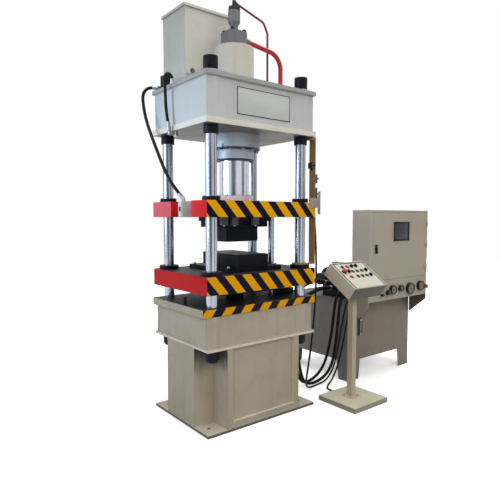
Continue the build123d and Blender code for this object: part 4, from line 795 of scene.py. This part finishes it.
def ferrule(name, way, dia, body):
    """The crimped sleeve on a hose's end, along its first stretch."""
    reach, kept, travelled = 26, [way[0]], 0
    for a, b in zip(way, way[1:]):
        step = (b - a).length
        if travelled + step >= reach:
            kept.append(a.lerp(b, (reach - travelled) / step))
            break
        travelled += step
        kept.append(b)
    fine = []
    for a, b in zip(kept, kept[1:]):
        count = max(1, int((b - a).length / 2.4))
        fine += [a.lerp(b, k / count) for k in range(count)]
    fine.append(kept[-1])
    radii = []
    for i in range(len(fine)):
        share = i / (len(fine) - 1)
        crimp = 0.5 if int(share * 9) % 2 else 0
        radii.append(dia / 2 + 2.6 - crimp - (1.2 if share > 0.9 else 0))
    return Work().tube(fine, radii, 24).piece(name, "bright_steel", body)


lay_cords()


# Crown: bare nameplate, welds, screws under the lock ring, tank trim
def dress_crown():
    half_x, half_y = 484, 358.5
    left, right, low, high, front = -239, 245, 2203, 2388, -half_y
    plate = Work().block((left, front - 2.5, low), (right, front, high))
    plate.piece("nameplate", "plate_silver")
    rim = Work().framed((left, front - 3.2, low), (right, front - 1, high), 5, 5, 0.4)
    rim.piece("nameplate_border", "black_steel")
    rivets = Work()
    for x, z in product((left + 13, right - 13), (low + 13, high - 13)):
        rivets.turned([(4.5, 0), (4.2, 1.2), (2.6, 2.4), (0, 2.8)], (x, front - 2.5, z), FORE, 14)
    rivets.piece("nameplate_rivets", "nickel")
    box_welds(half_x, half_y, (2159, 2428)).piece("crown_welds", "crown_paint")


def dress_rings():
    """Screws below the lock ring and in the rims of both rings, and the ram's wiper."""
    lock_rim, lock_low, lock_middle = 196, 2013, 2040
    gland_rim, gland_middle = 152, 1968
    screws = Work()
    for x, y in around(lock_rim - 20, 12, pi / 12):
        screw_head(screws, (x, y, lock_low), DOWN, 22, 12)
    for x, y in around(lock_rim, 4):
        screw_head(screws, (x, y, lock_middle), (x, y, 0), 16, 5)
    for x, y in around(gland_rim, 8):
        screw_head(screws, (x, y, gland_middle), (x, y, 0), 12, 4)
    screws.piece("ring_screws", "ring_grey")
    lip = [(120.3, 0), (129, 0), (129, -3), (122, -4), (120.3, -4), (120.3, 0)]
    place = (0, 0, box("cylinder_rings")[0][2])
    Work(capped=False).turned(lip, place, UP, 64).piece("ram_wiper", "black_plastic")


def dress_tank():
    left, right, near, far, low, lid = -320, 148, 190, 525, 2460, top("prefill_tank")
    seams = Work()
    for x, y in product((left, right), (near, far)):
        seams.bead((x, y, low), (x, y, lid - 20), 2.2, x + y)
    for y in (near, far):
        seams.bead((left, y, low), (right, y, low), 4, y)
    for x in (left, right):
        seams.bead((x, near, low), (x, far, low), 4, x)
    seams.piece("tank_welds", "tank_paint")
    places = product(range(left + 2, right, 116), (near - 2, far + 2), (lid,))
    Work().heads(hex_head, places, UP, 10, 7).piece("tank_lid_screws", "bright_steel")
    lip = [(21, -1), (28, -1), (29, 1), (29, 5), (28, 7), (21, 7), (21, -1)]
    Work(capped=False).turned(lip, (-282, 145, 2598), BACK, 32).piece("stub_rim", "tank_paint")


dress_crown()
dress_rings()
dress_tank()


# Slide, dies and platen
COLUMNS = list(product((-415, 415), (-300, 300)))


def round_columns(radius, height):
    """Places of the four screws round each column."""
    screws = around(radius, 4, pi / 4)
    return [(x + dx, y + dy, height) for x, y in COLUMNS for dx, dy in screws]


def dress_slide():
    """Screws of the bushes, clamps and trip dog, and the junction box's cover."""
    clamp_low, dog_front, cover_face = 1441, box("trip_dog")[0][1], -523.5
    bush = Work().heads(screw_head, round_columns(51, top("slide_bushes")), UP, 12, 7)
    bush.piece("slide_bush_screws", "bright_steel", SLIDE)
    places = product((-215, -120, 75), (-163,), (clamp_low,))
    clamp = Work().heads(screw_head, places, DOWN, 16, 9)
    clamp.piece("clamp_screws", "bright_steel", SLIDE)
    dog = Work().heads(hex_head, product((456, 484), (dog_front,), (1600, 1632)), FORE, 10, 6)
    dog.piece("dog_screws", "bright_steel", SLIDE)
    cover = Work().block((cover_face, -88, 1506), (cover_face + 3.5, -41, 1608))
    cover.piece("junction_cover", "box_grey", SLIDE)
    slot = Work().block((cover_face - 1, -78, 1540), (cover_face + 0.5, -52, 1574), 0.5)
    slot.piece("junction_slot", "black_plastic", SLIDE)
    corners = Work().heads(pan_head, product((cover_face,), (-83, -46), (1511, 1603)), LEFT, 7)
    corners.piece("junction_screws", "bright_steel", SLIDE)


def dress_platen():
    flush, shoe_top = Work(), 1132
    for place in round_columns(58, top("platen_bushes")):
        flush.turned([(8, 0), (7.6, 0.8), (3.6, 0.8), (3.4, -1.5), (0, -1.5)], place, UP, 18)
    flush.piece("platen_bush_screws", "bright_steel", PLATEN)
    places = product((-225, 225), (-230, -80, 80, 230), (shoe_top,))
    shoe = Work().heads(screw_head, places, UP, 24, 13)
    shoe.piece("die_shoe_screws", "bright_steel", PLATEN)


dress_slide()
dress_platen()


# Bed and pedestal
def dress_bed():
    low, high = [corner[2] for corner in box("bed_beam")]
    box_welds(492, 350.5, (low, high), -1).piece("bed_welds", "bed_shaded_paint")


def dress_pedestal():
    """Welds of the cross-shaped box: its outer ends and the recesses in its corners."""
    wide, narrow, deep, shallow, low, high = 494, 335, 376, 190, 20, 588
    foot = Work()
    for side, depth in product((-1, 1), (-1, 1)):
        a = (side * narrow, depth * deep)
        b = (side * narrow, depth * shallow)
        c = (side * wide, depth * shallow)
        for z in (low, high):
            foot.bead((*a, z), (*b, z), 4, z + a[0])
            foot.bead((*b, z), (*c, z), 4, z + b[1])
        for corner, radius, seed in ((a, 2.5, 3), (b, 3, 5), (c, 2.5, 7)):
            foot.bead((*corner, low), (*corner, high), radius, seed)
    for side in (-1, 1):
        for z, seed in ((low, 9), (high, 11)):
            foot.bead((side * wide, -shallow, z), (side * wide, shallow, z), 4, seed)
        foot.bead((-narrow, side * deep, low), (narrow, side * deep, low), 4, 13)
    foot.piece("pedestal_welds", "bed_shaded_paint")


dress_bed()
dress_pedestal()


# Station: gauges, knobs, screen, latch, oil tank, motor and valves
FRONT = -382
GAUGES = ((1509, 837, 80), (1632, 839, 56), (1778, 826, 104), (1948, 838, 90))
KNOBS = ((1343, 802, 26), (1431, 817, 46))


def on_dial(x, y, z, radius, angle):
    """A point round a centre, in the upright plane that faces the operator."""
    return Vector((x + radius * cos(angle), y, z + radius * sin(angle)))


def dress_gauges():
    face, marks, needle, rim = Work(), Work(), Work(), Work(capped=False)
    y, points_at = FRONT - 25, radians(205)
    for x, z, dia in GAUGES:
        r = dia / 2
        face.turned([(r - 5, 0), (r - 5, 0.8), (0, 0.8)], (x, y, z), FORE, 40)
        inner = [(r - 6, 1), (r - 6, 4.2), (r - 3, 5.6)]
        outer = [(r + 1.2, 5.2), (r + 2.2, 3), (r + 2, -6)]
        rim.turned(inner + outer + inner[:1], (x, y, z), FORE, 48)
        for i in range(31):
            angle = radians(225 - 9 * i)
            long, wide = (0.22, 0.8) if i % 5 == 0 else (0.12, 0.4)
            ends = [on_dial(x, y - 1.1, z, r - 8 - cut, angle) for cut in (0, long * r)]
            marks.tube(ends, wide, 4)
        tail, tip = [on_dial(x, y - 2.2, z, r * share, points_at) for share in (-0.2, 0.66)]
        needle.tube([tail, tip], [1.6, 0.5], 6)
        needle.turned([(3.4, 1), (3.2, 3), (0, 3.4)], (x, y, z), FORE, 14)
    face.piece("gauge_faces", "dial_white")
    marks.piece("gauge_marks", "black_plastic")
    needle.piece("gauge_needles", "black_plastic")
    rim.piece("gauge_rims", "gauge_case")


def knurled(work, x, z, radius, length):
    """A hand grip with twelve flutes round it, turned towards the operator."""
    part, rings = bmesh.new(), []
    form = ((0, 0.93), (1.2, 1), (length - 1.5, 1), (length, 0.92), (length + 0.2, 0.3))
    for depth, share in form:
        ring = []
        for i in range(72):
            angle = tau * i / 72
            flute = 1 - 0.045 * (0.5 + 0.5 * cos(angle * 12))
            place = on_dial(x, FRONT - 14 - depth, z, radius * share * flute, angle)
            ring.append(part.verts.new(place))
        rings.append(ring)
    return work.sleeve(part, rings)


def dress_knobs():
    grips, caps = Work(), Work()
    for x, z, dia in KNOBS:
        knurled(grips, x, z, dia / 2 + 0.8, 19)
        caps.turned([(dia * 0.34, 0), (dia * 0.3, 1), (0, 1.3)], (x, FRONT - 34, z), FORE, 20)
    grips.piece("knob_grips", "black_plastic")
    caps.piece("knob_caps", "gauge_case")
    knurled(Work(), 2034, 825, 18.8, 20).piece("red_knob_grip", "red_plastic")


def dress_door():
    x, y, z = 1637, FRONT - 3, 1369
    bezel = Work().framed((x - 120, y - 5, z - 88), (x + 120, y, z + 88), 20, 18, 1.6)
    bezel.piece("screen_bezel", "black_plastic", "door")
    glass = Work().block((x - 104, y - 2.4, z - 74), (x + 104, y, z + 74), 0.6)
    glass.piece("screen_glass", "screen_glass", "door")
    seal = Work().framed((1226.6, FRONT + 4, 931.6), (2048.4, FRONT + 12, 1545.4), 1, 1, 0)
    seal.piece("door_seal", "black_plastic")
    heights = [hinge + up for hinge in (1010, 1240, 1440) for up in (8, 22)]
    screws = Work().heads(pan_head, product((2031,), (FRONT - 4,), heights), FORE, 6)
    screws.piece("hinge_screws", "nickel", "door")


def dress_latch():
    x, z = 1262, 1218
    pin = (x, FRONT, z + 26)
    grip = Work().block((x - 8, FRONT - 20.5, z - 34), (x + 8, FRONT - 15.5, z + 14), 2.4)
    grip.turned([(9, 15.5), (9, 17.5), (7.5, 18.8), (0, 18.8)], pin, FORE, 24)
    grip.piece("latch_grip", "black_plastic", "door_latch")
    lock = Work().turned([(5.4, 18.6), (5, 19.6), (0, 19.6)], pin, FORE, 18)
    lock.piece("latch_lock", "nickel", "door_latch")


def dress_oil_tank():
    left, right, near, far, low, front = 1125, 2055, -196, 564, 186, -213.5
    lid = top("oil_tank")
    places = product(range(left + 25, right, 98), (far - 8,), (lid,))
    screws = Work().heads(pan_head, places, UP, 10)
    screws.heads(pan_head, product((left - 3, right + 3), range(-160, 560, 100), (lid,)), UP, 8)
    screws.piece("oil_lid_screws", "bright_steel")
    x, z = 1282, 488
    level = Work().block((x - 26, front, z - 76), (x + 26, front + 6.5, z + 76), 2)
    level.piece("level_frame", "black_plastic")
    window = Work().block((x - 9, front - 1.5, z - 58), (x + 9, front + 1, z + 58), 0.8)
    window.piece("level_window", "window_glass")
    bolts = Work().heads(hex_head, ((x, front, z - 66), (x, front, z + 66)), FORE, 13, 8)
    bolts.piece("level_bolts", "bright_steel")
    profile = [(32, 0), (32, 6), (24, 8), (24, 34), (38, 38), (40, 42), (40, 78), (34, 84), (0, 85)]
    Work().turned(profile, (1900, 430, lid)).piece("tank_breather", "nickel")
    seams = Work()
    for x, y, seed in ((left, far, left), (right, far, right), (left, near, 5)):
        seams.bead((x, y, low), (x, y, lid - 8), 2, seed)
    seams.piece("oil_tank_welds", "oil_paint")


def dress_motor():
    x, y, z = 1720, 320, 882
    terminal = Work().block((x - 200, y - 52, 978), (x - 110, y + 52, 1030), 5)
    terminal.block((x - 196, y - 48, 1030), (x - 114, y + 48, 1036), 2)
    terminal.piece("motor_terminal_box", "motor_paint")
    places = product((x - 190, x - 120), (y - 42, y + 42), (1036,))
    Work().heads(pan_head, places, UP, 8).piece("terminal_screws", "bright_steel")
    cowl = Work().turned([(110, 0), (108, 8), (100, 13), (0, 14)], (x, y, z), RIGHT, 48)
    cowl.piece("fan_cowl", "motor_paint")
    grill = Work(capped=False)
    for r in range(16, 96, 16):
        ring = [(r, 13.6), (r + 4, 13.6), (r + 4, 14.6), (r, 14.6), (r, 13.6)]
        grill.turned(ring, (x, y, z), RIGHT, 40)
    grill.piece("fan_grill", "black_plastic")
    loop = around(14, 20)
    eye = Work().tube([(x - 80, y + a, 1008 + b) for a, b in loop + loop[:1]], 4, 10)
    eye.turned([(9, 0), (9, 5), (5, 8), (0, 8)], (x - 80, y, 988))
    eye.piece("motor_eye", "bright_steel")


def dress_valves():
    coils, plugs, screws = Work(), Work(), Work()
    x, z, block_top, valve_top = 1275.2, 920, 890, 950
    profile = [(23, 0), (24, 2), (24, 44), (22, 47), (22, 58), (14, 60), (0, 60.5)]
    for y in (-90, 10):
        coils.turned(profile, (x + 27, y, z), RIGHT, 32)
        plugs.block((x + 34, y - 14, z + 22), (x + 62, y + 14, z + 46), 3)
        places = product((x - 16, x + 16), (y - 28, y + 28), (valve_top,))
        screws.heads(screw_head, places, UP, 8, 5)
    screws.heads(screw_head, product((1195,), (-130, 40, 100, 150), (block_top,)), UP, 14, 8)
    coils.piece("solenoid_coils", "black_plastic")
    plugs.piece("solenoid_plugs", "grey_plastic")
    screws.piece("valve_screws", "black_steel")


dress_gauges()
dress_knobs()
dress_door()
dress_latch()
dress_oil_tank()
dress_motor()
dress_valves()


# Switches on the bar: left, right, lower and upper end; the lowest has its cable, not a gland
SWITCHES = ((484, 514, 1880, 1926), (522, 552, 1766, 1836), (522, 552, 1636, 1732))


def dress_switches():
    covers, screws, glands, front = Work(), Work(), Work(), -356
    for left, right, low, high in SWITCHES:
        middle = (left + right) / 2
        covers.block((left + 2, front, low + 3), (right - 2, front + 2.5, high - 3), 0.8)
        screws.heads(pan_head, product((middle + 8,), (front,), (low + 8, high - 8)), FORE, 5)
    for left, right, low, _ in SWITCHES[:2]:
        place = ((left + right) / 2, front + 21, low)
        glands.turned([(7, 0), (7, 6), (5, 8), (5, 12), (0, 12)], place, DOWN, 16)
    covers.piece("switch_covers", "grey_plastic")
    screws.piece("switch_screws", "nickel")
    glands.piece("switch_glands", "black_plastic")
    bolts = Work().heads(hex_head, ((522, -350, 2109), (522, -312, 2109)), RIGHT, 13, 8)
    screw_head(bolts, (489, -340, 1141), UP, 8, 5)
    bolts.piece("bar_bolts", "bright_steel")


dress_switches()


# Console: places on its tilted face, from the face's middle
FACE = Matrix.Translation((808, -567.43, 1045.07)) @ Matrix.Rotation(radians(34), 4, "X")
BUTTONS = {
    "button_start": (-36, 38), "button_pressing": (18, 38), "button_reset": (72, 38),
    "button_pump_stop": (-106, -22), "button_slide_up": (-28, -22),
    "button_slide_down": (24, -22), "button_cushion_up": (76, -22),
}
SELECTORS = {
    "selector_mode": (2, 97), "selector_light": (52, 97), "selector_pump": (-86, 38),
    "selector_cushion": (122, 38), "selector_power": (124, -22),
}
LAMPS = {"green_lamp": (-108, 97), "pink_lamp": (-48, 97)}
STOP = (-138, 38, 0)


def dress_face():
    """The face's sheet, the gap and the lip round three of its sides, and the fixed trim on it."""
    Work(FACE).block((-171, -150, 0.2), (171, 134, 3.2), 0.5).piece("face_sheet", "panel_cream")
    for name, finish, half, low, high, side, proud, edge in (
        ("face_gap", "black_plastic", 182, -150, 145, 11, 3.3, 0),
        ("face_lip", "panel_cream", 194, -156, 156, 12, 3.0, 0.6),
    ):
        bars = Work(FACE).block((-half, low, 0.2), (side - half, high, proud), edge)
        bars.block((half - side, low, 0.2), (half, high, proud), edge)
        bars.block((-half, high - 11, 0.2), (half, high, proud), edge)
        bars.piece(name, finish)
    rims, labels = Work(FACE, capped=False), Work(FACE)
    ring = [(12.6, 2), (18, 2), (18, 4.8), (16.6, 6), (13.4, 6), (12.6, 4.8), (12.6, 2)]
    for x, y in (*BUTTONS.values(), *SELECTORS.values(), *LAMPS.values()):
        rims.turned(ring, (x, y, 0), UP, 32)
        labels.block((x - 13, y - 27, 3), (x + 13, y - 19, 3.8), 0.3)
    rims.piece("control_rims", "black_plastic")
    labels.piece("label_strips", "plate_silver")
    screws = Work(FACE).heads(pan_head, product((-168, 168), (-142, 128), (3.2,)), UP, 8)
    screws.piece("face_screws", "nickel")
    ring = [(12.6, 2), (21, 2), (20, 6), (17, 8.4), (12.6, 8.4), (12.6, 2)]
    Work(FACE, capped=False).turned(ring, STOP, UP, 40).piece("stop_collar", "black_plastic")


def dress_controls():
    profile = [(12.1, 7.3), (12.1, 7.8), (11, 9), (7, 9.6), (0, 9.7)]
    for name, place in BUTTONS.items():
        finish = "red_plastic" if name == "button_pump_stop" else "green_plastic"
        Work(FACE).turned(profile, (*place, 0), UP, 32).piece(name + "_cap", finish, name)
    for name, (x, y) in SELECTORS.items():
        knob = Work(FACE).turned([(12.4, 4.4), (12.6, 6), (11.6, 7.6), (0, 7.8)], (x, y, 0), UP, 32)
        knob.block((x - 4.7, y - 14, 6), (x + 4.7, y + 14, 20.6), 1.6)
        knob.piece(name + "_grip", "black_plastic", name)
        line = Work(FACE).block((x - 0.9, y + 2, 20.4), (x + 0.9, y + 12, 20.9), 0.1)
        line.piece(name + "_line", "white_plastic", name)
    profile = [
        (12.2, 13.3), (18, 13.6), (20.2, 15), (20.4, 20), (19, 24), (14, 26.6), (6, 27.6), (0, 27.8)]
    Work(FACE).turned(profile, STOP, UP, 48).piece("stop_head", "red_plastic", "emergency_stop")
    profile = [(12, 4), (12.2, 8), (11.4, 11), (8.4, 13), (4, 14), (0, 14.2)]
    for name, place in LAMPS.items():
        Work(FACE).turned(profile, (*place, 0), UP, 32).piece(name + "_dome", name)


def dress_post():
    """The plate at the foot of the console's post, with its four screws."""
    x, y, low, high = 808, -508, 40, 46
    places = product((x - 38, x + 38), (y - 38, y + 38), (high,))
    foot = Work().heads(hex_head, places, UP, 11, 8)
    foot.block((x - 55, y - 55, low), (x + 55, y + 55, high), 1.5)
    foot.piece("post_foot", "console_paint")


dress_face()
dress_controls()
dress_post()


# Floor and light
def flat_board(name, half, finish):
    """A flat square of the stage."""
    mesh = bpy.data.meshes.new(name)
    form = bmesh.new()
    bmesh.ops.create_grid(form, x_segments=2, y_segments=2, size=half)
    form.to_mesh(mesh)
    form.free()
    mesh.materials.append(finish.material)
    board = linked(name, mesh)
    return board


def stage_floor():
    ground = Finish("floor", Roughness=0.9, Specular_IOR_Level=0.1, Emission_Strength=1)
    seen = ground.seen()
    away = (ground.x * ground.x + ground.y * ground.y).math("SQRT").step(1.6, 4.5)
    glow = ground.mix(away, (0.46, 0.46, 0.46, 1), (1, 1, 1, 1))
    ground.wear(
        Base_Color=ground.mix(seen, colour(122, 117, 110), colour(240, 240, 240)),
        Emission_Color=ground.mix(seen, (0, 0, 0, 1), glow),
    )
    flat_board("floor", 14, ground)


def dark_card(name, at, toward, size, rgb):
    """A dark board that only polished metal sees, as the room behind the camera was."""
    paint = Finish(name, Roughness=1.0, Specular_IOR_Level=0.0)
    shade = colour(*rgb)
    paint.wear(Base_Color=paint.mix(paint.noise(0.8, 3), shade, toned(shade, 0.5)))
    card = flat_board(name, 0.5, paint)
    card.matrix_world = aimed(at, Vector(toward) - Vector(at), "Z") @ Matrix.Diagonal((*size, 1, 1))
    for ray in ("camera", "diffuse", "transmission", "volume_scatter", "shadow"):
        setattr(card, "visible_" + ray, False)


def light_room():
    """White where the room is seen, and a soft grey light from it everywhere else."""
    scene.world = bpy.data.worlds.new("room")
    scene.world.use_nodes = True
    room = Shader(scene.world.node_tree)
    tone = room.mix(room.seen(), (0.33, 0.335, 0.345, 1), (1, 1, 1, 1))
    room.tree.links.new(tone.socket, room.tree.nodes["Background"].inputs["Color"])


def soft_lamp(name, at, toward, size, power, tint, spread=180, mirrored=False):
    data = bpy.data.lights.new(name, "AREA")
    data.shape = "RECTANGLE"
    data.size, data.size_y = size
    data.energy = power
    data.color = tint
    data.spread = radians(spread)
    lamp = linked(name, data)
    lamp.matrix_world = aimed(at, Vector(toward) - Vector(at))
    lamp.visible_camera = False
    lamp.visible_glossy = mirrored


stage_floor()
light_room()
WARM = (1.0, 0.99, 0.97)
soft_lamp("left_window", (-4.4, 0.8, 3.4), (0, 0, 2), (2.6, 3), 58, (0.82, 0.9, 1), mirrored=True)
soft_lamp("side_window", (-2.5, 0.5, 2), (-0.5, 0, 1.9), (1, 1.4), 5.5, (0.56, 0.78, 1),
          spread=64, mirrored=True)
soft_lamp("near_room", (-3.6, -4, 2.2), (1.3, -0.3, 0.9), (2.6, 2.2), 72, (1, 0.98, 0.95))
soft_lamp("front_room", (0.6, -5, 4.4), (0.6, 0, 1.8), (4, 2.4), 106, (1, 0.985, 0.96))
soft_lamp("ceiling", (0.6, -0.4, 5.2), (0.6, 0, 0), (3.2, 3.2), 128, WARM, mirrored=True)
soft_lamp("back_room", (1.4, 5.2, 3.6), (0.6, 0, 1.4), (4, 2.4), 110, WARM)
soft_lamp("right_room", (6.2, 0.6, 3), (0.6, 0, 1.4), (3, 2.4), 90, WARM)
dark_card("room_behind", (-5.2, -5.2, 1.6), (0, 0, 1.6), (4.6, 3.6), (84, 94, 112))
dark_card("room_right", (3.6, -6.4, 1.8), (0.4, 0, 1.6), (2.4, 3.6), (96, 98, 106))

bpy.context.view_layer.update()
